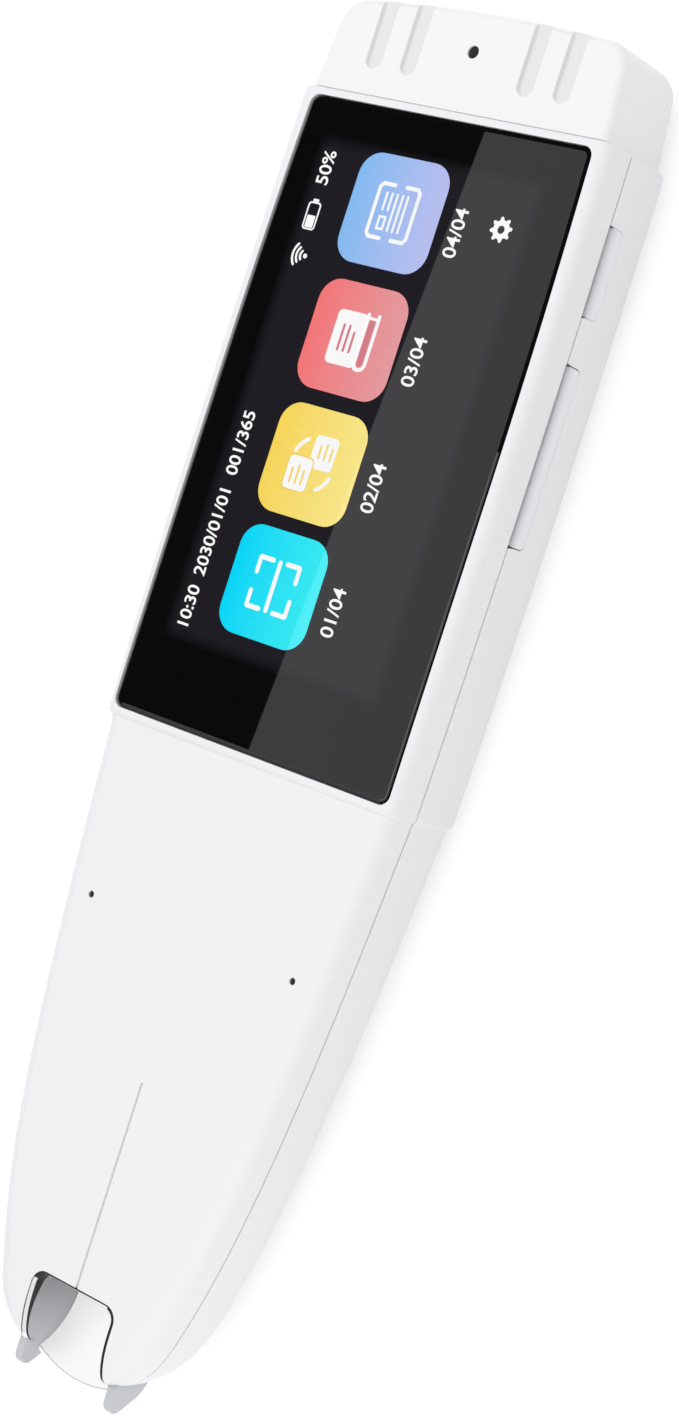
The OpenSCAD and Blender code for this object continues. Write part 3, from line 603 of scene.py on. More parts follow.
@dataclass(frozen=True)
class BarRow:
    """A row of equal bars, such as the wires of a mesh or the contacts of a port."""

    count: int
    step: Point
    size: Point
    start: Point

    def build(self, name: str, material: Material) -> Thing:
        """Builds the bars.

        Args:
            name: The object's name.
            material: Their finish.

        Returns:
            The new object.
        """
        rule = Rule("bar_row_rule")
        line = rule.node("GeometryNodeMeshLine", mode="OFFSET")
        rule.size("Count", self.count, line.inputs["Count"])
        rule.vector("Step", self.step, line.inputs["Offset"])
        rule.vector("Start", self.start, line.inputs["Start Location"])
        bar = rule.node("GeometryNodeMeshCube")
        rule.vector("Size", self.size, bar.inputs["Size"])
        return rule.run(name, rule.repeat(line.outputs[0], bar.outputs["Mesh"]), material)


# ---- Finishes ----


def srgb(red: float, green: float, blue: float) -> Colour:
    """A colour of the screen's scale, 0 to 255, as linear light.

    Args:
        red: The red channel.
        green: The green channel.
        blue: The blue channel.

    Returns:
        The linear colour.
    """

    def linear(value: float) -> float:
        """One channel as linear light."""
        share = value / 255
        return share / 12.92 if share <= 0.04045 else ((share + 0.055) / 1.055) ** 2.4

    return linear(red), linear(green), linear(blue)


def scaled(colour: Colour, share: float) -> Colour:
    """A colour made lighter or darker."""
    return tuple(min(1.0, c * share) for c in colour)


class Shader(Tree):
    """A material's nodes while they are put together."""

    def __init__(self, name: str) -> None:
        """Starts a material with a principled shader.

        Args:
            name: The material's name.
        """
        self.material = bpy.data.materials.new(name)
        self.material.use_nodes = True
        super().__init__(self.material.node_tree)
        self.base = self.tree.nodes["Principled BSDF"]

    def feed(self, label: str, source: Socket) -> None:
        """Leads a socket to an input of the principled shader."""
        self.join(source, self.base.inputs[label])

    def set(self, **values: object) -> None:
        """Sets inputs of the principled shader.

        Args:
            values: The values, by the inputs' names in lower case.
        """
        names = {s.name.lower().replace(" ", "_"): s for s in self.base.inputs}
        for key, value in values.items():
            socket = names[key]
            socket.default_value = (*value, 1) if socket.type == "RGBA" else value

    def place(self, stretch: Point = EVEN) -> Socket:
        """The piece's own coordinates, stretched.

        Args:
            stretch: How many times finer the pattern is along each axis.

        Returns:
            The vector's socket.
        """
        mapping = self.node("ShaderNodeMapping", scale=stretch)
        self.join(self.node("ShaderNodeTexCoord").outputs["Object"], mapping.inputs["Vector"])
        return mapping.outputs[0]

    def pattern(self, kind: str, stretch: Point = EVEN, **settings: object) -> bpy.types.Node:
        """A texture on the piece's own coordinates.

        Args:
            kind: The texture node's type.
            stretch: How many times finer it is along each axis.
            settings: As node takes them.

        Returns:
            The texture node.
        """
        made = self.node(kind, **settings)
        self.join(self.place(stretch), made.inputs["Vector"])
        return made

    def noise(self, per_mm: float, detail: float, stretch: Point = EVEN) -> Socket:
        """Noise with a given number of grains in a millimetre."""
        made = self.pattern("ShaderNodeTexNoise", stretch, scale=per_mm / MM, detail=detail)
        return made.outputs[0]

    def mix(
        self,
        factor: Socket | float,
        first: Socket | Colour,
        second: Socket | Colour,
        kind: str = "MIX",
    ) -> Socket:
        """Mixes two colours.

        Args:
            factor: 0 gives the first, 1 the second.
            first: The first colour.
            second: The second colour.
            kind: How they are mixed.

        Returns:
            The mixed colour's socket.
        """
        made = self.node("ShaderNodeMix", data_type="RGBA", blend_type=kind)
        for number, value in ((0, factor), (6, first), (7, second)):
            if isinstance(value, Socket):
                self.join(value, made.inputs[number])
            else:
                made.inputs[number].default_value = (*value, 1) if number else value
        return made.outputs[2]

    def along(self, axis: str, start: float, end: float) -> Socket:
        """A value that goes from 0 to 1 between two places on an axis, given in millimetres.

        Args:
            axis: The axis.
            start: Where it is 0.
            end: Where it is 1.

        Returns:
            The value's socket.
        """
        parts = self.node("ShaderNodeSeparateXYZ")
        self.join(self.place(), parts.inputs[0])
        return self.spread(parts.outputs[axis], 0.0, 1.0, start * MM, end * MM)

    def bump(self, height: Socket, depth: float, strength: float) -> None:
        """Raises the surface by a pattern.

        Args:
            height: The pattern.
            depth: Its depth in millimetres.
            strength: How much of it shows.
        """
        made = self.node("ShaderNodeBump", strength=strength, distance=depth * MM)
        self.join(height, made.inputs["Height"])
        self.feed("Normal", made.outputs[0])


@dataclass(frozen=True)
class Finish:
    """A finish by its name. Each kind has its own way to paint a shader."""

    name: str

    def paint(self, shader: Shader) -> None:
        """Leads the finish's patterns and values to a shader."""
        raise NotImplementedError

    def make(self) -> Material:
        """Builds the material.

        Returns:
            The new material.
        """
        shader = Shader(self.name)
        self.paint(shader)
        return shader.material


@dataclass(frozen=True)
class Grained(Finish):
    """A finish whose colour, gloss and height follow a fine noise.

    shade is the range of the colour's lightness, and gloss what the noise adds to the roughness.
    """

    colour: Colour
    roughness: float = 0.4
    grain: float = 6.0
    depth: float = 0.0
    detail: float = 2.0
    stretch: Point = EVEN
    shade: Flat = (1.0, 1.0)
    gloss: Flat = (0.0, 0.0)
    strength: float = 0.5
    metallic: float = 0.0
    sheen: float = 0.5
    ior: float = 1.5
    clear: float = 0.0
    # Emission strength: only the liner's finish sets it, as painted light.
    glow: float = 0.0

    def tint(self, shader: Shader, noise: Socket) -> Socket:
        """The socket of the colour, from the shader and its fine noise."""
        return shader.mix(noise, *(scaled(self.colour, share) for share in self.shade))

    def paint(self, shader: Shader) -> None:
        """Leads the finish's patterns and values to a shader.

        Args:
            shader: The shader.
        """
        noise = shader.noise(self.grain, self.detail, self.stretch)
        shader.feed("Base Color", self.tint(shader, noise))
        if any(self.gloss):
            low, high = (self.roughness + more for more in self.gloss)
            shader.feed("Roughness", shader.spread(noise, low, high))
        if self.depth:
            shader.bump(noise, self.depth, self.strength)
        shader.set(roughness=self.roughness, metallic=self.metallic, ior=self.ior)
        shader.set(specular_ior_level=self.sheen, transmission_weight=self.clear)
        shader.set(emission_color=self.colour, emission_strength=self.glow)


@dataclass(frozen=True)
class Moulded(Grained):
    """Moulded plastic with a fine spark-eroded grain and a little cloudiness in its colour."""

    roughness: float = 0.42
    depth: float = 0.004
    shade: Flat = (0.988, 1.012)
    gloss: Flat = (-0.04, 0.04)
    strength: float = 0.6
    cloud: float = 0.05

    def tint(self, shader: Shader, noise: Socket) -> Socket:
        """The socket of the colour, clouded by a coarse noise of its own."""
        return super().tint(shader, shader.noise(self.cloud, self.detail))


@dataclass(frozen=True)
class PaintedLightRamp(Moulded):
    """Moulded plastic whose colour ramps towards one end as painted light and shade."""

    # deep is the colour at the far end of the painted light and shade ramp.
    deep: Colour = (0.3, 0.3, 0.31)
    axis: str = "Y"
    start: float = -99.5
    end: float = -91.0

    def tint(self, shader: Shader, noise: Socket) -> Socket:
        """The socket of the colour, ramped along the axis as painted light and shade."""
        return shader.mix(shader.along(self.axis, self.start, self.end), self.colour, self.deep)


@dataclass(frozen=True)
class Metal(Grained):
    """Sheet or turned metal with fine brush lines along one axis."""

    roughness: float = 0.3
    grain: float = 20.0
    depth: float = 0.002
    detail: float = 3.0
    stretch: Point = (1.0, 0.05, 1.0)
    shade: Flat = (0.86, 1.0)
    gloss: Flat = (-0.06, 0.08)
    metallic: float = 1.0


@dataclass(frozen=True)
class Foil(Grained):
    """Crinkled laminate, such as a battery pouch or a copper flex."""

    roughness: float = 0.38
    depth: float = 0.05
    detail: float = 4.0
    shade: Flat = (0.8, 1.0)


@dataclass(frozen=True)
class InkedGlass(Grained):
    """Polished cover glass, printed black on its back."""

    roughness: float = 0.006
    grain: float = 0.08
    shade: Flat = (1.0, 1.5)
    gloss: Flat = (0.0, 0.006)


@dataclass(frozen=True)
class Clear(Grained):
    """Clear moulded plastic or glass."""

    roughness: float = 0.02
    grain: float = 0.3
    shade: Flat = (0.96, 1.0)
    gloss: Flat = (0.0, 0.04)
    ior: float = 1.49
    clear: float = 0.9


@dataclass(frozen=True)
class Circuit(Finish):
    """Solder mask over copper tracks, with bright pads."""

    mask: Colour
    track: Colour
    pad: Colour
    track_w: float = 2.4
    track_pitch: float = 0.45
    pads_per_mm: float = 0.9

    def paint(self, shader: Shader) -> None:
        """Leads the finish's patterns and values to a shader.

        Args:
            shader: The shader.
        """
        size = {"brick_width": self.track_w, "row_height": self.track_pitch, "mortar_size": 0.03}
        tracks = shader.pattern("ShaderNodeTexBrick", scale=1.0 / MM, offset=0.5, **size)
        dots = shader.pattern("ShaderNodeTexVoronoi", scale=self.pads_per_mm / MM)
        paint = shader.mix(tracks.outputs["Fac"], self.mask, self.track)
        spot = shader.spread(dots.outputs["Distance"], 1.0, 0.0, 0.16, 0.2)
        shader.feed("Base Color", shader.mix(spot, paint, self.pad))
        shader.bump(tracks.outputs["Fac"], 0.01, 0.5)
        shader.set(roughness=0.32, coat_weight=0.3)


@dataclass(frozen=True)
class Lit(Finish):
    """A lit part of the screen under the glass's polish, shading from one side to the other.

    low and high are the colours at the two ends of the range along X, given in millimetres.
    """

    low: Colour
    high: Colour
    start: float = -10.0
    end: float = 4.0
    streak: float = 0.05

    def paint(self, shader: Shader) -> None:
        """Leads the finish's patterns and values to a shader.

        Args:
            shader: The shader.
        """
        ramp = shader.mix(shader.along("X", self.start, self.end), self.low, self.high)
        noise = shader.noise(1.6, 2.0, (1.0, 2.2, 1.0))
        grain = shader.spread(noise, 1 - self.streak, 1 + self.streak)
        shader.feed("Emission Color", shader.mix(1.0, ramp, grain, "MULTIPLY"))
        shader.set(base_color=(0.001,) * 3, roughness=0.009, ior=1.5, emission_strength=1.0)


@dataclass(frozen=True)
class Backlight(Finish):
    """The unlit picture area, where the backlight glows a little and fades towards its edges."""

    glow: Colour
    low: Flat
    high: Flat
    fade: float = 1.4
    ink: Colour = (0.0022, 0.0022, 0.0025)
    rim: Colour = (0.0012, 0.0012, 0.0014)

    def paint(self, shader: Shader) -> None:
        """Leads the finish's patterns and values to a shader.

        Args:
            shader: The shader.
        """
        rises = [
            shader.along(axis, edge, edge + inwards)
            for axis, low, high in zip("XY", self.low, self.high)
            for edge, inwards in ((low, self.fade), (high, -self.fade))
        ]
        level = rises[0]
        for rise in rises[1:]:
            level = shader.sum("MULTIPLY", level, rise)
        shader.feed("Emission Color", shader.mix(level, self.rim, self.glow))
        shader.set(base_color=self.ink, roughness=0.009, ior=1.5, emission_strength=1.0)


# ---- The pen's form ----


@dataclass(frozen=True)
class KeyPlace:
    """A side key's centre and length, the gap at its ends, and its flange's play in the wall."""

    y: float
    length: float
    gap: float
    play: float


@dataclass(frozen=True)
class PenForm:
    """The outer form that the housings share, and the main places along the pen."""

    glass_w: float = 37.0
    glass_l: float = 67.2
    glass_t: float = 0.8
    block_w: float = 40.17
    block_bow: float = 0.35
    body_t: float = 13.6
    front_t: float = 4.05
    wall: float = 1.5
    handle_w: float = 38.9
    handle_l: float = 65.8
    nose_w: float = 23.1
    nose_l: float = 7.4
    handle_drop: float = 0.5
    front_fall: float = 0.1
    handle_step: float = 0.5
    back_rise: float = 0.9
    edge_r: float = 1.5
    handle_r: float = 1.85
    back_r: float = 4.0
    foot_r: float = 0.6
    end_r: float = 0.4
    nose_edge_r: float = 2.6
    nose_edge_from: float = 22.0
    nose_edge_l: float = 16.0
    tip_front_l: float = 6.4
    tip_back_l: float = 10.4
    foot_lean: float = 4.0
    nose_lean: float = 18.5
    glass_bow: float = 0.7
    glass_r: float = 1.1
    window_w: float = 11.0
    window_y: float = -91.7
    window_r: float = 1.25
    seam_gap: float = 0.1
    seam_edge: float = 0.08
    mic_x: float = 13.9
    mic_y: float = -53.2
    cap_hole: float = 6.3
    prong_x: float = 6.4
    y_rib: float = -80.5
    key_w: float = 2.6
    key_r: float = 0.6
    power: KeyPlace = KeyPlace(22.6, 9.2, 0.01, 0.3)
    rocker: KeyPlace = KeyPlace(3.7, 18.6, 0.1, 0.45)

    @property
    def y_end(self) -> float:
        """The display section's end at the cap."""
        return self.glass_l / 2 + 0.9

    @property
    def y_foot(self) -> float:
        """The display section's end at the handle."""
        return -self.glass_l / 2 - 1.0

    @property
    def y_tip(self) -> float:
        """The tip of the nose."""
        return self.y_foot - self.handle_l

    @property
    def y_nose(self) -> float:
        """Where the sides start to round in to the tip."""
        return self.y_tip + self.nose_l

    @property
    def z_seam(self) -> float:
        """The parting line of the housings."""
        return self.body_t - self.front_t

    def side_curve(self) -> list[Vector]:
        """The handle's side in plan, as a cubic curve.

        Returns:
            The curve's four points.
        """
        length = self.y_foot - self.y_nose
        start = Vector((self.handle_w / 2, self.y_foot))
        end = Vector((self.nose_w / 2, self.y_nose))
        foot, nose = math.radians(self.foot_lean), math.radians(self.nose_lean)
        leave = 0.43 * length * Vector((math.sin(foot), math.cos(foot)))
        arrive = 0.24 * length * Vector((math.sin(nose), math.cos(nose)))
        return [start, start - leave, end + arrive, end]

    def nose_curve(self) -> list[Vector]:
        """The nose's side in plan, as a cubic curve.

        Returns:
            The curve's four points.
        """
        nose, start = math.radians(self.nose_lean), Vector((self.nose_w / 2, self.y_nose))
        leave = 0.7 * self.nose_l * Vector((math.sin(nose), math.cos(nose)))
        tip = Vector((0.0, self.y_tip))
        return [start, start - leave, Vector((0.65 * start.x, self.y_tip)), tip]

    @staticmethod
    def inward(path: Sequence[Vector], t: float, d: float) -> Flat:
        """A point of a cubic curve moved inwards.

        Args:
            path: The curve's four points.
            t: Where on the curve, 0 to 1.
            d: How far it moves.

        Returns:
            The point.
        """
        s = 1 - t
        point = s**3 * path[0] + 3 * s * s * t * path[1] + 3 * s * t * t * path[2] + t**3 * path[3]
        first, second, third = (b - a for a, b in zip(path, path[1:]))
        way = s * s * first + 2 * s * t * second + t * t * third
        way.normalize()
        return point.x + d * way.y, point.y - d * way.x

    def glass_x(self, y: float) -> float:
        """Half width of the glass at y; its long sides draw in towards the cap."""
        return self.glass_w / 2 - self.glass_bow * (max(0.0, y) / (self.glass_l / 2)) ** 2

    def glass_outline(self, d: float, steps: int = 10) -> list[Flat]:
        """The glass's outline, anticlockwise.

        Args:
            d: How far it is drawn out.
            steps: Steps in each corner.

        Returns:
            The outline's points.
        """
        r, corner = self.glass_r + d, self.glass_l / 2 - self.glass_r
        right = arc((self.glass_x(-corner) + d - r, -corner), r, -90, 0, steps)
        right += [(self.glass_x(y) + d, y) for y in (corner * k / 12 for k in range(12))]
        return both_sides(right + arc((self.glass_x(corner) + d - r, corner), r, 0, 90, steps))

    def window_outline(
        self, d: float, end: float, steps: int = 8, side_steps: int = 1
    ) -> list[Flat]:
        """The aiming window's outline, from its right end round its top to its left end.

        Args:
            d: How far the outline is drawn out beyond the rim.
            end: Where its two sides end, from the tip.
            steps: Steps in each corner.
            side_steps: Steps along each side.

        Returns:
            The outline's points.
        """
        w, r, y = self.window_w / 2 + d, self.window_r + d, self.y_tip + end
        corner = self.window_y + d - r
        side = [(w, y + (corner - y) * k / side_steps) for k in range(side_steps)]
        return both_sides(side + arc((w - r, corner), r, 0, 90, steps))

    def block_x(self, y: float) -> float:
        """Half width of the display section at y."""
        return self.block_w / 2 - self.block_bow * (y / self.y_end) ** 2

    def front_z(self, y: float) -> float:
        """Height of the handle's front at y.

        Args:
            y: Place along the pen.

        Returns:
            The height.
        """
        start = self.y_tip + self.tip_front_l
        fall = min(self.front_fall, self.front_fall * (self.y_foot - y) / (self.y_foot - start))
        u = max(0.0, start - y) / self.tip_front_l
        tall = self.body_t - self.handle_drop - fall - self.z_seam
        return self.z_seam + tall * math.sqrt(max(0.0, 1 - u * u))

    def back_z(self, y: float) -> float:
        """Height of the handle's back at y.

        Args:
            y: Place along the pen.

        Returns:
            The height.
        """
        start = self.y_tip + self.tip_back_l
        rise = min(self.back_rise, self.back_rise * (self.y_foot - y) / (self.y_foot - start))
        u = max(0.0, start - y) / (self.tip_back_l + 0.3)
        depth = self.z_seam - self.handle_step - rise
        return self.z_seam - depth * math.sqrt(max(0.0, 1 - u * u))

    def face_z(self, half: Half, y: float) -> float:
        """Height of the handle's outer face at y."""
        return self.front_z(y) if half is Half.FRONT else self.back_z(y)

    def edge(self, half: Half, y: float) -> float:
        """Radius of the outer edges at y.

        Args:
            half: Which housing.
            y: Place along the pen.

        Returns:
            The radius.
        """
        if half is Half.REAR:
            return self.back_r
        if y > self.y_foot:
            return self.edge_r
        t = clamp((self.y_tip + self.nose_edge_from - y) / self.nose_edge_l)
        return self.handle_r + (self.nose_edge_r - self.handle_r) * t * t * (3 - 2 * t)

    def half_width(self, y: float) -> float:
        """Half width of the handle at y, found by halving.

        Args:
            y: Place along the pen.

        Returns:
            The half width.
        """
        path = self.nose_curve() if y < self.y_nose else self.side_curve()
        low, high = 0.0, 1.0
        for _ in range(30):
            mid = (low + high) / 2
            low, high = (mid, high) if self.inward(path, mid, 0)[1] > y else (low, mid)
        return self.inward(path, low, 0)[0]

    def surface_z(self, x: float, y: float) -> float:
        """Height of the handle's front at x, y, its round edges with it.

        Args:
            x: Place across the pen.
            y: Place along it.

        Returns:
            The height.
        """
        z = self.front_z(y)
        r = clamp(self.edge(Half.FRONT, y), 0.05, z - self.z_seam - 0.05)
        over = abs(x) - (self.half_width(y) - r)
        return z if over <= 0 else z - r + math.sqrt(max(0.0, r * r - over * over))


# ---- Housings ----


@dataclass(frozen=True)
class Station:
    """A section of a housing: the outside's half width, y, height and edge, and the inside's.

    in_z is None where the hollow has ended.
    """

    x: float
    y: float
    z: float
    r: float
    in_x: float
    in_y: float
    in_z: float | None
    in_r: float


@dataclass
class Housings:
    """The front and rear mouldings, with the openings that the other pieces sit in."""

    form: PenForm
    plastic: Material
    steps: int = 10
    seat_depth: float = 0.95
    seat_wall: float = 1.0
    view_w: float = 31.9
    view_l: float = 58.8
    view_at: Flat = (-0.5, 1.85)
    mic_r: float = 0.38
    line_top: float = -69.0
    line_w: float = 0.3
    end_w: float = 33.2
    end_low: float = 2.7
    end_high: float = 10.3
    way_w: float = 1.5
    channel_w: float = 11.3
    floor_at: Flat = (-94.0, 12.12)
    floor_r: float = 8.27
    chassis_screws: tuple[Flat, ...] = ((-14.0, -30.4), (14.0, -30.4))
    board_screws: tuple[Flat, ...] = ((12.6, -42.0), (-12.6, -42.0), (8.2, -70.2), (-8.2, -70.2))
    screw_r: float = 0.74
    chassis_boss: Flat = (1.9, 10.35)
    chassis_boss_top: float = 11.85
    chassis_hole: Flat = (9.35, 12.3)
    board_boss: Flat = (1.6, 9.0)
    board_hole: Flat = (8.2, 11.1)
    rebate_in: float = 0.75
    rebate_h: float = 0.9
    glass_gap: float = 0.06
    window_gap: float = 0.38
    line_depth: float = 0.3
    way_low: float = 4.3
    way_high: float = 10.9
    speaker_y: float = -53.0
    sound_holes: PinField = PinField(7, 3, 2.2, 0.5, 8.0)
    slot_flare: float = 0.16

    def stations(self, half: Half) -> list[Station]:
        """The housing's sections from the cap end to the tip.

        Args:
            half: Which housing.

        Returns:
            The stations.
        """
        f, front = self.form, half is Half.FRONT
        r = f.edge_r if front else f.back_r
        in_r = max(0.3, r - f.wall)
        in_z = f.body_t - self.seat_depth - self.seat_wall if front else f.wall

        def face(s: float) -> float:
            """Height of the display section's face, drawn in by s."""
            return f.body_t - s if front else s

        def ceiling(y: float) -> float:
            """Height of the handle's hollow at y, which never quite closes at the seam."""
            z, up = f.face_z(half, y) - half.value * f.wall, 0.25 * half.value
            return max(z, f.z_seam + up) if front else min(z, f.z_seam + up)

        def straight(y: float, s: float = 0.0, hollow: float | None = None) -> Station:
            """A station of the display section, drawn in by s."""
            x = f.block_x(y) - s
            return Station(x, y, face(s), r, x - f.wall, y, hollow, in_r)

        made = [straight(f.y_end - back, s) for s, back in easing(f.end_r, 6)[:0:-1]]
        made.append(straight(f.y_end - f.wall))
        first, last, count = f.y_end - f.wall - 0.3, f.y_foot + f.wall + 0.3, 16
        made += [straight(first + (last - first) * k / count, 0.0, in_z) for k in range(count + 1)]
        x_in, z_in, y = f.handle_w / 2 - f.wall, ceiling(f.y_foot), f.y_foot + f.wall
        made.append(Station(f.block_x(y), y, face(0), r, x_in, y, z_in, in_r))
        for k, (t, rise) in enumerate(easing(1.0, 9)):
            y = f.y_foot + f.foot_r * rise
            x = f.block_x(y) * (1 - t) + f.handle_w / 2 * t
            z = face(0) * (1 - t) + f.face_z(half, f.y_foot) * t
            made.append(Station(x, y, z, r, x_in, y - 0.01 * k, z_in, in_r))
        side_places = [0.012, 0.03] + [0.06 + 0.91 * k / 26 for k in range(27)]
        nose_places = [0.98 * k / 30 for k in range(31)]
        for path, places in ((f.side_curve(), side_places), (f.nose_curve(), nose_places)):
            for t in places:
                (x, y), (x_in, y_in) = f.inward(path, t, 0), f.inward(path, t, f.wall)
                r, z_in = f.edge(half, y), ceiling(y)
                if path[-1].x == 0 and t > 0.92:
                    x_in, y_in, z_in = min(x_in, 0.6 * x), max(y_in, y), None
                in_r = max(0.3, r - f.wall)
                made.append(Station(x, y, f.face_z(half, y), r, x_in, y_in, z_in, in_r))
        return made

    def arch(self, half: Half, at: Flat, z: float | None, r: float, seam_edge: float) -> Ring:
        """The points of a section, from the seam on the right over the face to the left seam.

        Args:
            half: Which housing.
            at: Half width, and place along the pen.
            z: Height of the face, or None for a flat line along the seam.
            r: Corner radius.
            seam_edge: Rounding of the edge at the seam.

        Returns:
            The points.
        """
        (x, y), up = at, half.value
        seam = self.form.z_seam + up * self.form.seam_gap
        count = 2 * (self.steps + 4)
        if z is None:
            return [(x * (1 - 2 * k / (count - 1)), y, seam) for k in range(count)]
        tall = max(0.02, abs(z - seam))
        q = max(0.01, min(r, tall - 0.05, x - 0.02, 0.97 * tall))
        e = clamp(seam_edge, 0.002, 0.4 * (tall - q))
        edge = [(x - e, 0.0), (x - 0.3 * e, 0.3 * e), (x, e)]
        right = edge + arc((x - q, tall - q), q, 0, 90, self.steps)
        right += [(-a, b) for a, b in reversed(right)]
        return [(a, y, seam + up * b) for a, b in right]

    def shell(self, half: Half) -> Thing:
        """One hollow half, its outer and inner skins closed along the seam and at both ends.

        Args:
            half: Which housing.

        Returns:
            The solid.
        """
        rings: list[Ring] = []
        for s in self.stations(half):
            outer = self.arch(half, (s.x, s.y), s.z, s.r, self.form.seam_edge)
            inner = self.arch(half, (s.in_x, s.in_y), s.in_z, s.in_r, 0.0)
            rings.append(outer + inner[::-1])
        count = len(rings[0])
        last = (len(rings) - 1) * count
        faces: list[list[int]] = []
        for start in range(0, last, count):
            for k in range(count):
                a, b = start + k, start + (k + 1) % count
                faces.append([a, b, b + count, a + count])
        for a, b in ((0, count - 1), (last, last + count - 1)):
            faces += [[a + i, a + i + 1, b - i - 1, b - i] for i in range(count // 2 - 1)]
        name = "front_moulding" if half is Half.FRONT else "rear_moulding"
        return solid(name, [p for ring in rings for p in ring], faces)

    def outline(self, d: float) -> list[list[Flat]]:
        """The pen's outline at the seam, drawn in by d, as two overlapping pieces.

        Args:
            d: How far it is drawn in.

        Returns:
            The outlines.
        """
        f = self.form
        ys = [f.y_end - d - k / 12 * (f.y_end - f.y_foot - 2 * d) for k in range(13)]
        side_places = (0.06, 0.14, 0.22, 0.32, 0.42, 0.52, 0.62, 0.72, 0.81, 0.9)
        handle = [(f.handle_w / 2 - d, f.y_foot + d + 1)]
        handle += [f.inward(f.side_curve(), t, d) for t in side_places]
        handle += [f.inward(f.nose_curve(), 0.125 * k, d) for k in range(8)] + [(0.0, f.y_tip + d)]
        return [both_sides([(f.block_x(y) - d, y) for y in ys]), both_sides(handle)]

    def openings(self, high: float) -> list[Thing]:
        """The cuts that both housings have: the way for the cap's spigot, and the prongs' two ways.

        Args:
            high: The top of the spigot's way.

        Returns:
            The solids that cut them.
        """
        f, w, r = self.form, self.end_w / 2, self.way_w / 2
        made = [block("end", (-w, f.y_end - 2.5, self.end_low), (w, f.y_end + 1, high))]
        for x in (-f.prong_x, f.prong_x):
            low, top = (x - r, f.y_tip - 5, self.way_low), (x + r, f.y_nose + 7, self.way_high)
            made.append(block("way", low, top))
        return made

    def front(self) -> None:
        """Builds the front housing."""
        f = self.form
        top = f.body_t + 1
        ledge = f.z_seam + self.rebate_h
        cuts = [prism("rebate", o, f.z_seam - 1, ledge) for o in self.outline(self.rebate_in)]
        seat = f.glass_outline(self.glass_gap)
        cuts.append(prism("seat", seat, f.body_t - self.seat_depth, top))
        view = round_rect(self.view_w, self.view_l, 0.5, self.view_at)
        cuts.append(prism("view", view, f.z_seam, f.body_t))
        for x in (-f.mic_x, f.mic_x):
            cuts.append(rod("hole", (x, f.mic_y), self.mic_r, f.z_seam + 1, top))
        cuts.append(prism("window", f.window_outline(self.window_gap, -5.0), f.z_seam - 1, top))
        ends = (self.line_top, f.window_y)
        groove = [(y, f.front_z(y) - self.line_depth) for y in ends]
        groove += [(y, f.front_z(y) + 2.0) for y in ends[::-1]]
        cuts.append(prism("line", groove, -self.line_w / 2, self.line_w / 2, "x"))
        shell = combine(self.shell(Half.FRONT), cuts + self.openings(self.end_high), Cut.TAKE)
        bosses = []
        for at in self.chassis_screws:
            bosses.append(rod("boss", at, *self.chassis_boss, self.chassis_boss_top))
        for at in self.board_screws:
            bosses.append(rod("boss", at, *self.board_boss, f.front_z(at[1]) - f.wall + 0.2))
        holes = [rod("hole", at, self.screw_r, *self.chassis_hole) for at in self.chassis_screws]
        holes += [rod("hole", at, self.screw_r, *self.board_hole) for at in self.board_screws]
        combine(combine(shell, bosses, Cut.ADD), holes, Cut.TAKE)
        finish_piece(clad(shell, self.plastic), Body.PEN, ["front_housing"])

    def slot(self, key: KeyPlace) -> Thing:
        """The opening for a side key, whose ends flare a little towards the seam.

        Args:
            key: The key.

        Returns:
            The solid that cuts it.
        """
        f = self.form
        low, high = f.z_seam - 0.1 - f.key_w, f.z_seam + 2.0
        middle, half = (low + high) / 2, key.length / 2 + key.gap
        corners = round_rect(2 * half, high - low, f.key_r, (key.y, middle))
        outline: list[Flat] = []
        for (y, z), (_, z_next) in zip(corners, corners[1:] + corners[:1]):
            count = 10 if abs(z_next - z) > 1 else 1
            for b in (z + (z_next - z) * k / count for k in range(count)):
                end = clamp((abs(y - key.y) - half + f.key_r) / f.key_r)
                flare = self.slot_flare * clamp((b - low) / f.key_w) ** 6 * end
                sunk = 0.006 if b < middle else 0.0
                outline.append((y + math.copysign(flare, y - key.y), b - sunk))
        return prism("slot", outline, f.block_w / 2 - 3.0, f.block_w / 2 + 1, "x")

    def rear(self) -> None:
        """Builds the rear housing."""
        f = self.form
        lip, *rest = [prism("lip", o, f.z_seam - 0.5, f.z_seam + 0.8) for o in self.outline(0.85)]
        room = [prism("room", o, f.z_seam - 1.5, f.z_seam + 1.8) for o in self.outline(1.35)]
        combine(combine(lip, rest, Cut.ADD), room, Cut.TAKE)
        ribs = []
        for x in (-f.prong_x, f.prong_x):
            ribs.append(block("rib", (x - 1.6, f.y_rib, 2.0), (x + 1.6, f.y_rib + 1, 7.1)))
        holes = self.sound_holes.build("sound_holes", self.plastic)
        holes.data.transform(Matrix.Translation((0, self.speaker_y, 1.0)))
        cuts = [self.slot(f.power), self.slot(f.rocker), holes, *self.throat()]
        shell = combine(self.shell(Half.REAR), [lip, *ribs], Cut.ADD)
        combine(shell, cuts + self.openings(f.z_seam + 1), Cut.TAKE)
        finish_piece(clad(shell, self.plastic), Body.PEN, ["rear_housing"])

    def throat(self) -> list[Thing]:
        """The solids that clear the light path and the liner's seat.

        Returns:
            The solids that cut them.
        """
        f, half, (y, _) = self.form, self.channel_w / 2, self.floor_at
        path = [(f.y_tip - 5, f.z_seam), (y + 4, f.z_seam), (y + 4, 20), (f.y_tip - 5, 20)]
        mouth = [(y, 3.85), (y + 4, 3.85), (y + 4, 12), (y, 12)]
        made = [prism("path", outline, -half, half, "x") for outline in (path, mouth)]
        return [*made, rod("path", self.floor_at, self.floor_r, -half, half, "x")]


# ---- Display ----


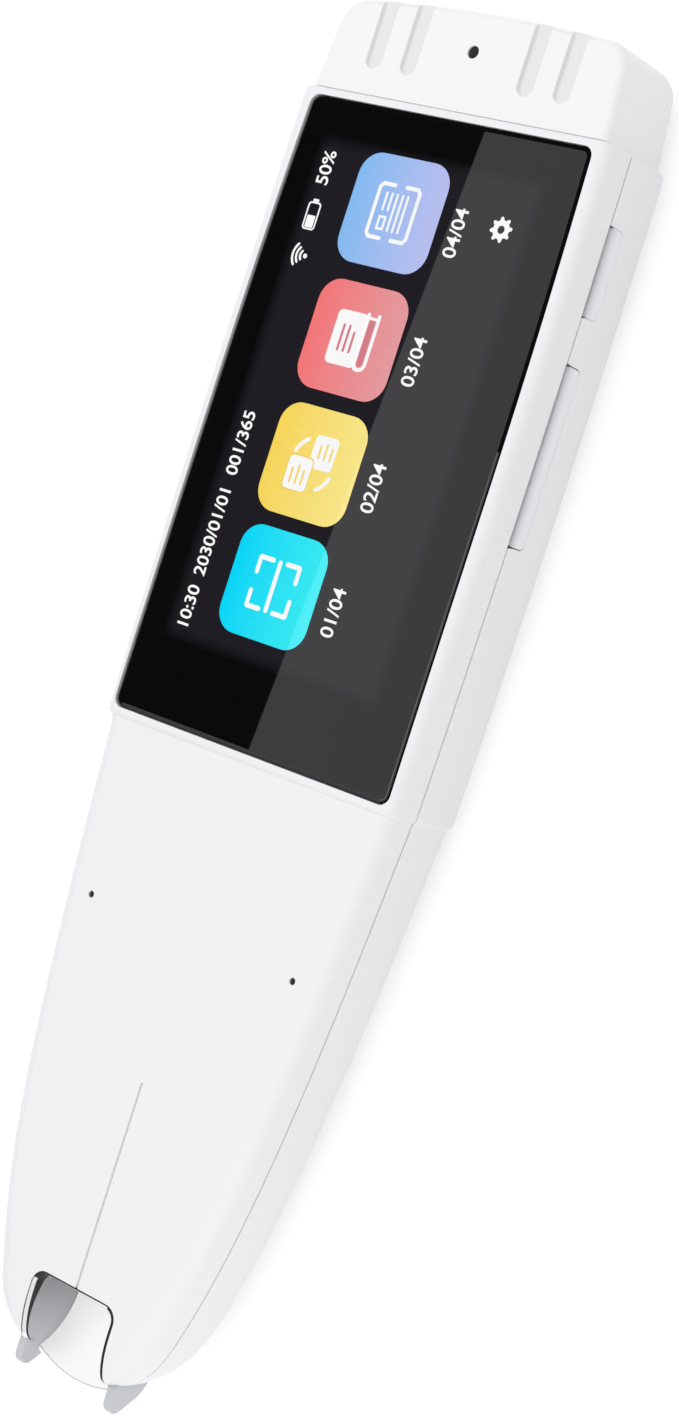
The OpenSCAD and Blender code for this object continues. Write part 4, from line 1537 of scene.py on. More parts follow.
@dataclass
class CoverGlass:
    """The black cover glass, its round edge a painted reflection on the right and below."""

    form: PenForm
    glass: Material
    # The three edge finishes, black and two greys, are painted reflection.
    ink: Material
    painted_grey_edge: Material
    soft: Material
    top: float = 13.52
    edge: float = 0.5

    def finish(self, face: bpy.types.MeshPolygon) -> int:
        """The number of a face's material.

        Args:
            face: The face.

        Returns:
            0 for glass; 1 for black, 2 and 3 for greys: painted reflection on the edge.
        """
        at, tilt = face.center, face.normal.z
        if tilt > 0.999 or tilt < -0.5 or at.x < 0:
            return 0
        # The edge on the right half and below gets matt black and greys: painted reflection.
        if face.normal.y < -0.1 and at.x < 17.5:
            return 3
        if tilt < 0.85 or at.y > 4:
            return 1
        return 2 if tilt > 0.96 else 0

    def build(self) -> None:
        """Builds the glass."""
        f = self.form
        low = f.body_t - f.glass_t
        levels = [(0.1, low), (0.0, low + 0.1)]
        levels += [(inset, self.top - drop) for inset, drop in easing(self.edge, 6)]
        rings = [[(x, y, z) for x, y in f.glass_outline(-inset)] for inset, z in levels]
        pane = skin("glass_pane", rings)
        clad(pane, self.glass, self.ink, self.painted_grey_edge, self.soft)
        for face in pane.data.polygons:
            face.material_index = self.finish(face)
        finish_piece(pane, Body.PEN, ["cover_glass"], 50)


class Drawing:
    """Flat shapes at one level of the screen, drawn as thin slabs and joined into one piece."""

    def __init__(self, name: str, low: float, high: float) -> None:
        """Starts a drawing.

        Args:
            name: The piece's name.
            low: Underside of the slabs.
            high: Top of the slabs.
        """
        self.name, self.low, self.high = name, low, high
        self.points: list[Point] = []
        self.faces: list[list[int]] = []

    def strip(self, left: Sequence[Flat], right: Sequence[Flat], closed: bool) -> None:
        """Adds a strip between two lines of equal length.

        Args:
            left: Points along one side.
            right: Points along the other side.
            closed: True if the strip closes on itself.
        """
        n, base = len(left), len(self.points)
        for x, y in [*left, *right]:
            self.points += [(x, y, self.low), (x, y, self.high)]

        def index(side: int, k: int, top: int) -> int:
            """The point k of a side, low or high."""
            return base + 2 * (side * n + k % n) + top

        for k in range(n if closed else n - 1):
            for i in (0, 1):
                level = [index(0, k, i), index(0, k + 1, i), index(1, k + 1, i), index(1, k, i)]
                wall = [index(i, k, 0), index(i, k + 1, 0), index(i, k + 1, 1), index(i, k, 1)]
                self.faces += [level, wall]
        if not closed:
            for k in (0, n - 1):
                self.faces.append([index(0, k, 0), index(0, k, 1), index(1, k, 1), index(1, k, 0)])

    def stroke(self, path: Sequence[Flat], width: float, closed: bool = False) -> None:
        """Adds a line of even width, with round ends where it is open.

        Args:
            path: The line's points.
            width: Its width.
            closed: True if it closes on itself.
        """
        n, places = len(path), [Vector(p) for p in path]
        left: list[Flat] = []
        right: list[Flat] = []
        for k, here in enumerate(places):
            before = places[k - 1] if closed or k > 0 else None
            after = places[(k + 1) % n] if closed or k < n - 1 else None
            a = (here - before).normalized() if before is not None else (after - here).normalized()
            b = (after - here).normalized() if after is not None else a
            normal = Vector((-(a.y + b.y), a.x + b.x)).normalized()
            reach = width / 2 / max(0.35, normal.dot(Vector((-a.y, a.x))))
            left.append(tuple(here + reach * normal))
            right.append(tuple(here - reach * normal))
        for end, neighbour in () if closed else ((0, 1), (-1, -2)):
            away = (places[end] - places[neighbour]).normalized()
            across = Vector((-away.y, away.x)) * (-1 if end == 0 else 1)
            for k in (1, 2, 3):
                a = math.pi / 2 * (k / 3.3)
                out, reach = width / 2 * math.cos(a) * across, width / 2 * math.sin(a) * away
                for line, sign in ((left, 1), (right, -1)):
                    corner = tuple(places[end] + sign * out + reach)
                    line.insert(0 if end == 0 else len(line), corner)
        self.strip(left, right, closed)

    def plate(self, outline: Sequence[Flat]) -> None:
        """Adds a filled outline, which has to be convex.

        Args:
            outline: The outline's points.
        """
        base, n = len(self.points), len(outline)
        for x, y in outline:
            self.points += [(x, y, self.low), (x, y, self.high)]
        self.faces += [[base + 2 * k + top for k in range(n)] for top in (0, 1)]
        for k in range(n):
            a, b = base + 2 * k, base + 2 * ((k + 1) % n)
            self.faces.append([a, b, b + 1, a + 1])

    def build(self, material: Material) -> None:
        """Makes the piece in a material."""
        thing = clad(solid(self.name, self.points, self.faces), material)
        finish_piece(thing, Body.PEN)


class Tile(Enum):
    """The four tiles of the menu, with their centres along the pen and their two colours."""

    SCAN = (-16.6, srgb(0, 212, 247), srgb(56, 234, 240))
    CARDS = (-3.5, srgb(246, 212, 88), srgb(246, 229, 136))
    BOOK = (9.75, srgb(243, 116, 118), srgb(226, 154, 158))
    PAGE = (23.2, srgb(130, 186, 240), srgb(184, 190, 238))


@dataclass
class Screen:
    """The lit picture: four tiles with white signs, a status row, captions and a settings wheel.

    On the screen, right is +Y and up is -X.
    """

    white: Material
    area_low: Flat = (-15.1, -25.0)
    area_high: Flat = (14.0, 29.7)
    tile_x: float = -3.1
    tile_w: float = 11.6
    tile_r: float = 2.5
    card_w: float = 3.0
    card_h: float = 3.5
    level: float = 13.517
    step: float = 0.01
    row_x: float = -12.15
    row_size: float = 1.55
    caption_x: float = 5.9
    caption_size: float = 1.65
    wheel_at: Flat = (10.3, 23.9)
    wheel_teeth: int = 8

    def layer(self, name: str, number: int) -> Drawing:
        """A drawing on one of the screen's levels, counted from the glass up."""
        low = self.level + self.step * (number - 1)
        return Drawing(name, low - 0.009, low + self.step * 0.5)

    def at(self, tile: Tile, right: float, up: float) -> Flat:
        """A point of a tile, given right and up from its centre."""
        return self.tile_x - up, tile.value[0] + right

    def path(
        self, sign: Drawing, tile: Tile, points: Sequence[Flat], width: float, closed: bool = False
    ) -> None:
        """Adds a line to a tile's sign, its points given right and up from the tile's centre."""
        sign.stroke([self.at(tile, *p) for p in points], width, closed)

    def rules(self, sign: Drawing, tile: Tile, rows: Sequence[Point], width: float) -> None:
        """Adds level lines to a tile's sign, each by its left end, its right end and its height."""
        for left, right, up in rows:
            self.path(sign, tile, [(left, up), (right, up)], width)

    def build(self) -> None:
        """Builds every part of the picture."""
        (left, near), (right, far) = self.area_low, self.area_high
        area = self.layer("picture_area", 1)
        middle = ((right + left) / 2, (far + near) / 2)
        area.plate(round_rect(right - left, far - near, 0.4, middle))
        glow = Backlight("screen_backlight", srgb(28, 26, 32), self.area_low, self.area_high)
        area.build(glow.make())
        for tile in Tile:
            (y, low, high), name = tile.value, tile.name.lower()
            plate = self.layer("tile_" + name, 2)
            plate.plate(round_rect(self.tile_w, self.tile_w, self.tile_r, (self.tile_x, y)))
            plate.build(Lit("tile_light_" + name, low, high, -9.0, 2.6).make())
        self.scan_sign()
        self.cards_sign()
        self.book_sign()
        self.page_sign()
        self.status_row()
        for number, tile in enumerate(Tile, 1):
            name = "caption_" + tile.name.lower()
            start = tile.value[0] - 3.2
            self.numerals(name, "%02d/04" % number, start, self.caption_size, self.caption_x)
        self.wheel()

    def scan_sign(self) -> None:
        """Four corner brackets round a long line."""
        sign, tile = self.layer("sign_scan", 3), Tile.SCAN
        for right in (-1, 1):
            for up in (-1, 1):
                bracket = [(1.0, 2.6), (2.5, 2.6), (2.6, 2.5), (2.6, 0.95)]
                self.path(sign, tile, [(right * a, up * b) for a, b in bracket], 0.5)
        self.rules(sign, tile, [(-2.55, 2.55, 0.0)], 0.5)
        sign.build(self.white)

    def cards_sign(self) -> None:
        """Two overlapping cards with two bent arrows between them."""
        tile, upper, lower = Tile.CARDS, (-1.3, 1.45), (1.35, -1.0)
        back = self.layer("sign_card_back", 3)
        back.plate(round_rect(self.card_w, self.card_h, 0.5, self.at(tile, *lower)))
        for start in (30, 210):
            self.path(back, tile, arc((0.0, 0.0), 2.75, start, start + 40, 5), 0.42)
        back.build(self.white)
        amber = Lit("sign_amber", srgb(240, 206, 96), srgb(243, 222, 130), -7.0, 1.0).make()
        gap = self.layer("sign_card_gap", 4)
        gap.plate(round_rect(self.card_w + 0.35, self.card_h + 0.35, 0.65, self.at(tile, *upper)))
        rows = [(0.75, 2.3 - 0.3 * k * k, -1.2 + 0.75 * k) for k in (-1, 0, 1)]
        self.rules(gap, tile, rows, 0.26)
        gap.build(amber)
        front = self.layer("sign_card_front", 5)
        front.plate(round_rect(self.card_w, self.card_h, 0.5, self.at(tile, *upper)))
        front.build(self.white)
        marks = self.layer("sign_card_marks", 6)
        rows = [(-2.3, -0.5 - 0.4 * k * k, 1.45 + 0.75 * k) for k in (-1, 0, 1)]
        self.rules(marks, tile, rows, 0.26)
        marks.build(amber)

    def book_sign(self) -> None:
        """A closed book with lines on its cover and its pages below."""
        cover, tile = self.layer("sign_book", 3), Tile.BOOK
        cover.plate(round_rect(3.9, 5.7, 0.6, self.at(tile, 0.0, 0.75)))
        spine = [(-2.3, -1.1), (-2.75, -1.3), (-2.85, -1.75), (-2.7, -2.2), (-2.3, -2.45)]
        self.path(cover, tile, [(2.9, -1.1), *spine, (2.9, -2.45)], 0.42)
        self.path(cover, tile, [(2.55, -1.1), (2.55, -2.4)], 0.3)
        cover.build(self.white)
        marks = self.layer("sign_book_marks", 4)
        self.rules(marks, tile, [(-1.3, 1.3, 1.5), (-1.3, 1.3, 0.75), (-1.3, 0.7, 0.0)], 0.3)
        self.rules(marks, tile, [(-2.1, 2.05, -1.78)], 0.75)
        marks.build(Lit("sign_rose", srgb(214, 122, 132), srgb(206, 126, 138), -7.0, 1.0).make())

    def page_sign(self) -> None:
        """A page of lines with a small picture, between two long brackets."""
        sign, tile = self.layer("sign_page", 3), Tile.PAGE
        bracket = [(2.8, 0.75), (2.8, 2.2), (2.4, 2.55), (-2.4, 2.55), (-2.8, 2.2), (-2.8, 0.75)]
        for up in (-1, 1):
            self.path(sign, tile, [(a, up * b) for a, b in bracket], 0.42)
        starts = (0.15, 0.15, -1.9, -1.9, -1.9)
        rows = [(left, 1.9, 1.45 - 0.68 * k) for k, left in enumerate(starts)]
        self.rules(sign, tile, rows, 0.26)
        self.path(sign, tile, [(-1.85, 0.75), (-0.6, 0.75), (-0.6, 1.5), (-1.85, 1.5)], 0.26, True)
        sign.build(self.white)

    def numerals(self, name: str, words: str, start: float, size: float, x: float) -> None:
        """Plain figures.

        Args:
            name: The piece's name.
            words: The figures.
            start: Where they start along the pen.
            size: Their height.
            x: Their base line.
        """
        text = bpy.data.curves.new(name, "FONT")
        text.body = words
        text.size = size * 1.38
        text.extrude = 0.006
        text.offset = 0.025
        holder = new_object(name, text)
        bpy.context.view_layer.update()
        depsgraph = bpy.context.evaluated_depsgraph_get()
        mesh = bpy.data.meshes.new_from_object(holder.evaluated_get(depsgraph))
        bpy.data.objects.remove(holder)
        turn = Matrix.Rotation(math.pi / 2, 4, "Z")
        mesh.transform(Matrix.Translation((x, start, self.level + self.step * 1.4)) @ turn)
        finish_piece(clad(new_object(name, mesh), self.white), Body.PEN)

    def status_row(self) -> None:
        """The clock, the date, the signal, the battery and its level."""
        self.numerals("clock_figures", "10:30", -23.7, self.row_size, self.row_x)
        self.numerals("date_figures", "2030/01/01  001/365", -17.9, self.row_size, self.row_x)
        self.numerals("level_figures", "50%", 24.4, 1.6, -12.45)
        row, signal, cell = self.layer("status_signs", 2), (-12.3, 16.9), (-13.1, 21.1)
        for radius in (0.65, 1.15, 1.65):
            row.stroke(arc(signal, radius, 222, 138, 12), 0.26)
        row.plate(circle(signal, 0.26, 12))
        row.stroke(round_rect(1.5, 2.8, 0.3, cell, 4), 0.18, closed=True)
        row.plate(round_rect(1.05, 1.3, 0.1, (cell[0], 20.5), 2))
        row.plate(round_rect(0.75, 0.3, 0.1, (cell[0], 22.75), 2))
        row.build(self.white)

    def wheel(self) -> None:
        """The settings wheel: a toothed ring."""
        sign, count = self.layer("settings_wheel", 2), self.wheel_teeth * 8
        tooth = (1.22, 1.32, 1.32, 1.22, 0.98, 0.98, 0.98, 0.98)
        turns = [2 * math.pi * (k + 0.5) / count for k in range(count)]
        ways = [Vector((math.cos(a), math.sin(a))) for a in turns]
        centre = Vector(self.wheel_at)
        outer = [tuple(centre + tooth[k % 8] * way) for k, way in enumerate(ways)]
        sign.strip(outer, [tuple(centre + 0.42 * way) for way in ways], True)
        sign.build(self.white)


# ---- Side keys ----


@dataclass
class SideKeys:
    """The power button and the volume rocker: bars that stand out most along the seam."""

    form: PenForm
    plastic: Material
    proud: float = 0.35
    swell: float = 2.4
    flange: float = 0.5
    pin_x: float = 17.0
    lug: Point = (1.0, 6.85, 9.45)
    bore: Point = (0.54, 5.0, 11.0)
    edge: tuple[Flat, ...] = ((0.0, 0.22), (0.02, 0.1), (0.08, 0.03), (0.2, 0.0))
    face: tuple[float, ...] = (0.45, 0.75, 1.05, 1.28)

    def key(self, name: str, key: KeyPlace) -> Thing:
        """One key with its flange.

        Args:
            name: The piece's name.
            key: The key's place.

        Returns:
            The solid.
        """
        f = self.form
        low = f.z_seam - 0.1 - f.key_w
        at = (key.y, low + f.key_w / 2)
        x_in = f.block_x(abs(key.y) + key.length / 2) - f.wall - key.play
        back = round_rect(key.length, f.key_w, f.key_r, at, 5)
        rings: list[Ring] = [[(x_in - self.flange, a, b) for a, b in back]]
        for inset, drop in (*self.edge, *((inset, 0.0) for inset in self.face)):
            size = (key.length - 2 * inset, f.key_w - 2 * inset, max(0.02, f.key_r - inset))
            ring: Ring = []
            for a, b in round_rect(*size, at, 5):
                share = clamp((b - low) / f.key_w)
                out = self.proud * share**self.swell - drop * min(1.0, 0.1 + 2 * share)
                ring.append((f.block_x(a) + out, a, b))
            rings.append(ring)
        rim = round_rect(key.length + 1.2, f.key_w + 0.6, 0.6, (at[0], at[1] - 0.3), 4)
        flange = prism("flange", rim, x_in - self.flange, x_in, "x")
        return combine(skin(name, rings), [flange], Cut.ADD)

    def build(self) -> None:
        """Builds both keys."""
        f = self.form
        power, rocker = self.key("power_bar", f.power), self.key("volume_bar", f.rocker)
        finish_piece(clad(power, self.plastic), Body.POWER, ["power_button"], 50)
        x, y = pin = (self.pin_x, f.rocker.y)
        combine(rocker, [rod("lug", pin, *self.lug)], Cut.ADD)
        notch = block("notch", (x, y - 1.5, 5.0), (x + 1.3, y + 1.5, 6.85))
        combine(rocker, [notch, rod("bore", pin, *self.bore)], Cut.TAKE)
        finish_piece(clad(rocker, self.plastic), Body.VOLUME, ["volume_rocker"], 50)


# ---- End cap ----


@dataclass
class EndCap:
    """The cap: a tapered block with an arched end, four grooves, a hole and the port's way."""

    form: PenForm
    plastic: Material
    grip: Material
    length: float = 10.6
    width: float = 37.6
    low: float = 0.5
    high: float = 13.1
    corner: float = 3.2
    taper: float = 0.7
    arch: float = 0.9
    front_r: float = 0.95
    back_r: float = 3.4
    grooves: tuple[float, ...] = (-11.9, -7.4, 7.4, 11.9)
    groove_w: float = 2.0
    groove_start: float = 2.8
    groove_depth: float = 0.45
    joint: float = 0.09
    port_w: float = 9.14
    port_h: float = 3.46
    port_z: float = 7.3
    spigot_low: Point = (-16.5, -1.9, 2.8)
    spigot_high: Point = (16.5, 0.5, 10.2)
    way_low: Point = (-15.5, -3.0, 3.8)
    way_high: Point = (15.5, 2.5, 9.2)
    hole_r: float = 0.68

    def at_end(self, corner: Point) -> Point:
        """A point given from the middle of the housings' end."""
        return corner[0], self.form.y_end + corner[1], corner[2]

    def outline(self, e: float) -> list[Flat]:
        """The cap's outline in plan.

        Args:
            e: How far it is drawn in.

        Returns:
            The outline's points.
        """
        f = self.form
        w, r = self.width / 2 - e, max(0.4, self.corner - e)
        x, y = w - self.taper - r, f.y_end + self.length - e

        def end(u: float) -> float:
            """The arched end's place at u across the pen."""
            return y - self.arch * (u / (self.width / 2)) ** 2

        right = [(w, f.y_end + self.joint), *arc((x, end(x) - r), r, 0, 90, 12)]
        return both_sides(right + [(u, end(u)) for u in (x * (1 - k / 12) for k in range(1, 13))])

    def groove(self, x: float) -> Thing:
        """A grip groove with flared edges.

        Args:
            x: Its centre.

        Returns:
            The solid that cuts it.
        """
        start = self.form.y_end + self.groove_start + self.groove_w / 2
        end = self.form.y_end + self.length + 2
        floor, top = self.high - self.groove_depth, self.high
        foot = [(floor, -0.16), (floor + 0.03, -0.06), (floor + 0.1, -0.01)]
        flare = [(top - 0.08, 0.0), (top - 0.02, 0.03), (top + 0.02, 0.08), (top + 3, 0.08)]
        rings: list[Ring] = []
        for z, grow in foot + flare:
            r = self.groove_w / 2 + grow
            line = [(x + r, end), (x - r, end), *arc((x, start), r, 180, 360, 16)]
            rings.append([(a, b, z) for a, b in line])
        return skin("groove", rings)

    def is_grip(self, face: bpy.types.MeshPolygon) -> bool:
        """Whether a face is the floor of a groove.

        Args:
            face: The face.

        Returns:
            True if it is.
        """
        at, start = face.center, self.form.y_end
        deep = self.high - 0.6 < at.z < self.high - 0.1 and face.normal.y < 0.5
        return deep and 5.8 < abs(at.x) < 13.6 and start + 2 < at.y < start + self.length - 0.4

    def build(self) -> None:
        """Builds the cap."""
        f = self.form
        levels = [(inset, self.low + rise) for inset, rise in easing(self.back_r, 8)[::-1]]
        levels += [(inset, self.high - drop) for inset, drop in easing(self.front_r, 8)]
        rings = [[(x, y, z) for x, y in self.outline(inset)] for inset, z in levels]
        cap = skin("cap_moulding", rings)
        spigot = block("spigot", self.at_end(self.spigot_low), self.at_end(self.spigot_high))
        combine(cap, [spigot], Cut.ADD)
        hollow = prism("hollow", self.outline(f.wall + 0.6), self.low + f.wall, self.high - f.wall)
        limit = block("limit", (-30, f.y_end + f.wall, 0), (30, f.y_end + 20, 20))
        combine(hollow, [limit], Cut.KEEP)
        cuts = [hollow, block("way", self.at_end(self.way_low), self.at_end(self.way_high))]
        cuts += [self.groove(x) for x in self.grooves]
        centre = (0.0, f.y_end + f.cap_hole)
        cuts.append(rod("hole", centre, self.hole_r, self.high - 2.5, self.high + 1))
        port = round_rect(self.port_w, self.port_h, self.port_h / 2 - 0.01, (0.0, self.port_z))
        cuts.append(prism("port", port, f.y_end + 7.1, f.y_end + 12.1, "y"))
        clad(combine(cap, cuts, Cut.TAKE), self.plastic, self.grip)
        # Groove floors and lower walls take the grip finish, darker as painted shade.
        for face in cap.data.polygons:
            face.material_index = int(self.is_grip(face))
        finish_piece(cap, Body.PEN, ["end_cap"], 34)


# ---- Nose ----


@dataclass
class Nose:
    """The window's bright rim, the white liner, the fork and its spring."""

    form: PenForm
    chrome: Material
    satin: Material
    # dark and grey carry painted shade on the rim; white, the liner's finish, painted light.
    dark: Material
    white: Material
    lip: Material
    shell: Material
    grey: Material
    steel: Material
    rim_w: float = 0.34
    floor_at: Flat = (-94.0, 12.12)
    floor_r: float = 7.37
    floor_t: float = 0.8
    floor_w: float = 11.5
    floor_sweep: float = 58.8
    lip_bulge: float = 1.3
    lip_round: float = 0.2566
    fork_top: float = 10.6
    fork_tip: float = 1.9
    fork_r: float = 1.2
    fork_under: tuple[Flat, ...] = (
        *((0.08, 9.0), (0.3, 8.6), (0.95, 7.6), (1.6, 6.6), (2.2, 6.0), (2.9, 5.55), (3.5, 5.22)),
        *((4.2, 5.0), (7.8, 4.6), (14.9, 4.0), (17.3, 4.0), (17.3, 7.2), (15.3, 7.6), (13.3, 10.6)),
    )
    prong_w: float = 1.1
    spring_l: float = 4.0
    travel: float = 0.5

    def rim(self) -> None:
        """The U round the window: bright on the left, satin on top, painted shade on the rest."""
        f = self.form
        outer, inner = (f.window_outline(d, 0.6, 12, 18) for d in (self.rim_w, 0.0))
        rings: list[Ring] = []
        for (ox, oy), (ix, iy) in zip(outer, inner):
            top = f.surface_z(ox, oy) - 0.03
            low = max(f.z_seam + 0.02, min(10.45, top - 0.5))
            along = clamp((f.window_y - oy) / 7.5)
            edge = max(low + 0.02, top - 0.36)
            # shade: how far down the inner wall's painted black shade reaches, deeper near the
            # window's top.
            shade = max(low + 0.01, edge - 0.3 - 1.3 * (1 - along) ** 2)
            flat = 0.3 if ox < -4.6 else 0.36 if ox < 4.6 else 0.95
            ex, ey = ox + flat * (ix - ox), oy + flat * (iy - oy)
            face = [(ox, oy, low), (ox, oy, top), (ex, ey, top)]
            rings.append(face + [(ix, iy, z) for z in (edge, shade, low)])
        rim = skin("window_rim", rings, self.rim_finish)
        clad(rim, self.chrome, self.dark, self.grey, self.satin)
        finish_piece(rim, Body.PEN, ["window_trim"], 30)

    def rim_finish(self, facet: int, at: Vector) -> int:
        """Which of the rim's finishes a face has.

        Args:
            facet: The side of the rim's section: 1 the flat, 2 the chamfer, 4 the lower inner wall.
            at: The face's centre.

        Returns:
            0 polished, 1 black painted shade, 2 grey painted shade, 3 satin.
        """
        # Black and grey paint the shade on the inner walls, the top corner, the top and the right
        # side.
        if at.x < 0 and (facet in (-1, 4) or at.y < self.form.y_tip + 0.9):
            return 2
        if facet not in (1, 2) or at.x > 4.4:
            return 1
        if abs(at.x) < 4.6:
            return 3 if facet == 2 else 1
        return 1 if at.y > self.form.window_y - 0.7 else 0

    def liner(self) -> None:
        """The white liner: a floor that sweeps up to a lip at the tip."""
        (y, z), r, t, steps = self.floor_at, self.floor_r, self.floor_t, 24
        end = 270 - self.floor_sweep
        out = Vector((math.cos(math.radians(end)), math.sin(math.radians(end))))
        way = Vector((out.y, -out.x))
        profile = [(y + 4, z - r), *arc(self.floor_at, r, 270, end, steps)]
        for a in (math.pi * k / 6 for k in range(1, 6)):
            beyond = (r + t / 2 * (1 - math.cos(a))) * out + self.lip_round * math.sin(a) * way
            profile.append((y + beyond.x, z + beyond.y))
        profile += [*arc(self.floor_at, r + t, end, 270, steps), (y + 4, z - r - t)]
        rings: list[Ring] = []
        half = self.floor_w / 2
        for x in (half * (k / 6 - 1) for k in range(13)):
            bulge = self.lip_bulge * (1 - (x / half) ** 2) - 0.2
            rings.append([(x, b - bulge * clamp((y - b) / 6.3) ** 2, c) for b, c in profile])
        # The lip face takes a greyer copy of the liner's finish as painted shade.
        tip, outside = steps + 1, steps + 4
        floor = skin("scan_floor", rings, lambda k, _: 2 if k > outside else 1 if k == tip else 0)
        # The floor's finish glows and pales inwards as painted light.
        clad(floor, self.white, self.lip, self.shell)
        finish_piece(floor, Body.PEN, ["scan_liner"], 40)

    def fork(self) -> None:
        """The fork: two prongs, the pads at their ends and the bridge that joins them."""
        f = self.form
        tip, r, half = f.y_tip - self.fork_tip, self.fork_r, self.prong_w / 2
        profile = arc((tip + r, self.fork_top - r), r, 90, 180, 6)
        profile += [(tip + along, z) for along, z in self.fork_under]
        start, parts = f.y_nose + 5.6, []
        for x in (-f.prong_x, f.prong_x):
            parts.append(soften(prism("nib_prongs", profile, x - half, x + half, "x"), 0.2))
            parts.append(block("pad", (x - 1.2, start + 1.4, 4.0), (x + 1.2, start + 2.4, 7.0)))
        x = f.prong_x + half
        parts.append(block("bridge", (-x, start, 4.0), (x, start + 1, 4.8)))
        # Its grey darkens towards the body as painted shade.
        fork = clad(combine(parts[0], parts[1:], Cut.ADD), self.grey)
        finish_piece(fork, Body.NIB, ["nib_fork"], 34)

    def spring(self) -> None:
        """The spring between a pad and the rib behind it."""
        spring = Coil(4.5, 0.9, 0.2, self.spring_l).build("nib_coil", self.steel)
        spring.data.transform(Matrix.Translation((-self.form.prong_x, -84.75, 5.5)))
        finish_piece(spring, Body.PEN, ["nib_spring"], 60)
        anchor, keep = (0, self.form.y_rib * MM, 0), (self.spring_l - self.travel) / self.spring_l
        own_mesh(spring)
        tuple(anchor)

    def build(self) -> None:
        """Builds the nose's pieces."""
        for make in (self.rim, self.liner, self.fork, self.spring):
            make()


# ---- Inside ----


def box_mm(node: str) -> tuple[Vector, Vector]:
    """The lowest and highest corner of a solid, in millimetres."""
    low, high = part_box(node)
    return low / MM, high / MM


@dataclass
class Inside:
    """The pieces inside the pen: the solids with their finishes, and the fine parts on them."""

    form: PenForm
    steel: Material
    gold: Material
    cloth: Material
    mesh_pitch: float = 0.6
    wire_w: float = 0.14
    wire_t: float = 0.07
    contacts: int = 12
    contact_pitch: float = 0.5

    def dress(self) -> None:
        """Gives each solid that shows as it is its finish."""
        finishes = {
            Circuit("circuit_board", (0.012, 0.1, 0.05), (0.02, 0.16, 0.08), (0.55, 0.42, 0.16)): (
                "main_board scan_board led_board"
            ),
            Moulded("chip_resin", (0.02, 0.02, 0.022), 0.5, 8.0): "board_chips",
            Moulded("black_resin", (0.015, 0.015, 0.016), 0.4): (
                "key_switches usb_tongue speaker_box camera_module lens_barrel nib_switch"
            ),
            Foil("copper_flex", (0.5, 0.2, 0.04), grain=0.3, metallic=0.3): (
                "display_flex antenna key_board link_flex"
            ),
            Moulded("adhesive_tape", (0.62, 0.55, 0.3), 0.6, 2.0): "battery_tape battery_plug",
            Moulded("black_foam", (0.02, 0.02, 0.02), 0.9, 4.0, 0.02): "glass_tape",
            Moulded("soft_rubber", (0.03, 0.03, 0.033), 0.75, 5.0, 0.01): (
                "mic_boots speaker_gasket"
            ),
            Metal("sheet_steel", (0.6, 0.61, 0.63), 0.32): (
                "backlight_tray chassis shield_cans key_bracket"
            ),
            Moulded("display_cell", (0.012, 0.012, 0.02), 0.15, 3.0, 0.001): "display_panel",
            Foil("battery_pouch", (0.5, 0.52, 0.55), grain=0.25, metallic=0.8): "battery",
            Clear("lens_glass_clear", (0.75, 0.85, 0.95), ior=1.6): "lens_glass",
            Clear("window_clear", (0.9, 0.95, 0.97)): "scan_window",
            Lit("led_light", (0.9, 0.88, 0.75), (0.95, 0.92, 0.8)): "scan_leds",
        }
        groups = [(finish.make(), names) for finish, names in finishes.items()]
        steel = "chassis_screws board_screws rocker_pin usb_shell scan_board_screws"
        groups += [(self.steel, steel), (self.gold, "microphones")]
        for material, names in groups:
            for name in names.split():
                clad(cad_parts[name], material)
                log.info("%s: %s", name, material.name)

    def grille(self) -> None:
        """The speaker's woven mesh."""
        low, high = box_mm("speaker_mesh")
        centre, size = (low + high) / 2, high - low
        wires: list[Thing] = []
        for axis, lift in ((0, -0.03), (1, 0.03)):
            count = int(size[axis] / self.mesh_pitch)
            step, bar = Vector(), Vector((self.wire_w, self.wire_w, self.wire_t))
            step[axis] = size[axis] / count
            bar[1 - axis] = size[1 - axis]
            start = centre + Vector((0, 0, lift))
            start[axis] = low[axis] + step[axis] / 2
            wires.append(BarRow(count, step, bar, start).build("grille_wires", self.steel))
        grille = join_loose("speaker_grille", wires, self.steel)
        finish_piece(grille, Body.PEN, ["speaker_mesh"])

    def hole_meshes(self) -> None:
        """The black cloth discs in the microphones' holes."""
        f = self.form
        top = f.front_z(f.mic_y) - 0.25
        discs = [rod("disc", (x, f.mic_y), 0.37, top - 0.1, top) for x in (-f.mic_x, f.mic_x)]
        discs.append(rod("disc", (0.0, f.y_end + f.cap_hole), 0.67, 12.75, 12.85))
        finish_piece(join_loose("hole_cloth", discs, self.cloth), Body.PEN)

    def port(self) -> None:
        """The port's contacts, on both faces of its tongue."""
        low, high = box_mm("usb_tongue")
        rows: list[Thing] = []
        for z in (low.z - 0.02, high.z + 0.02):
            start = (-self.contact_pitch * (self.contacts - 1) / 2, (low.y + high.y) / 2 + 0.4, z)
            row = BarRow(self.contacts, (self.contact_pitch, 0.0, 0.0), (0.25, 3.6, 0.05), start)
            rows.append(row.build("contacts", self.gold))
        finish_piece(join_loose("port_contacts", rows, self.gold), Body.PEN)

    def build(self) -> None:
        """Dresses the solids and adds the fine parts."""
        for make in (self.dress, self.grille, self.hole_meshes, self.port):
            make()


# ---- Studio ----


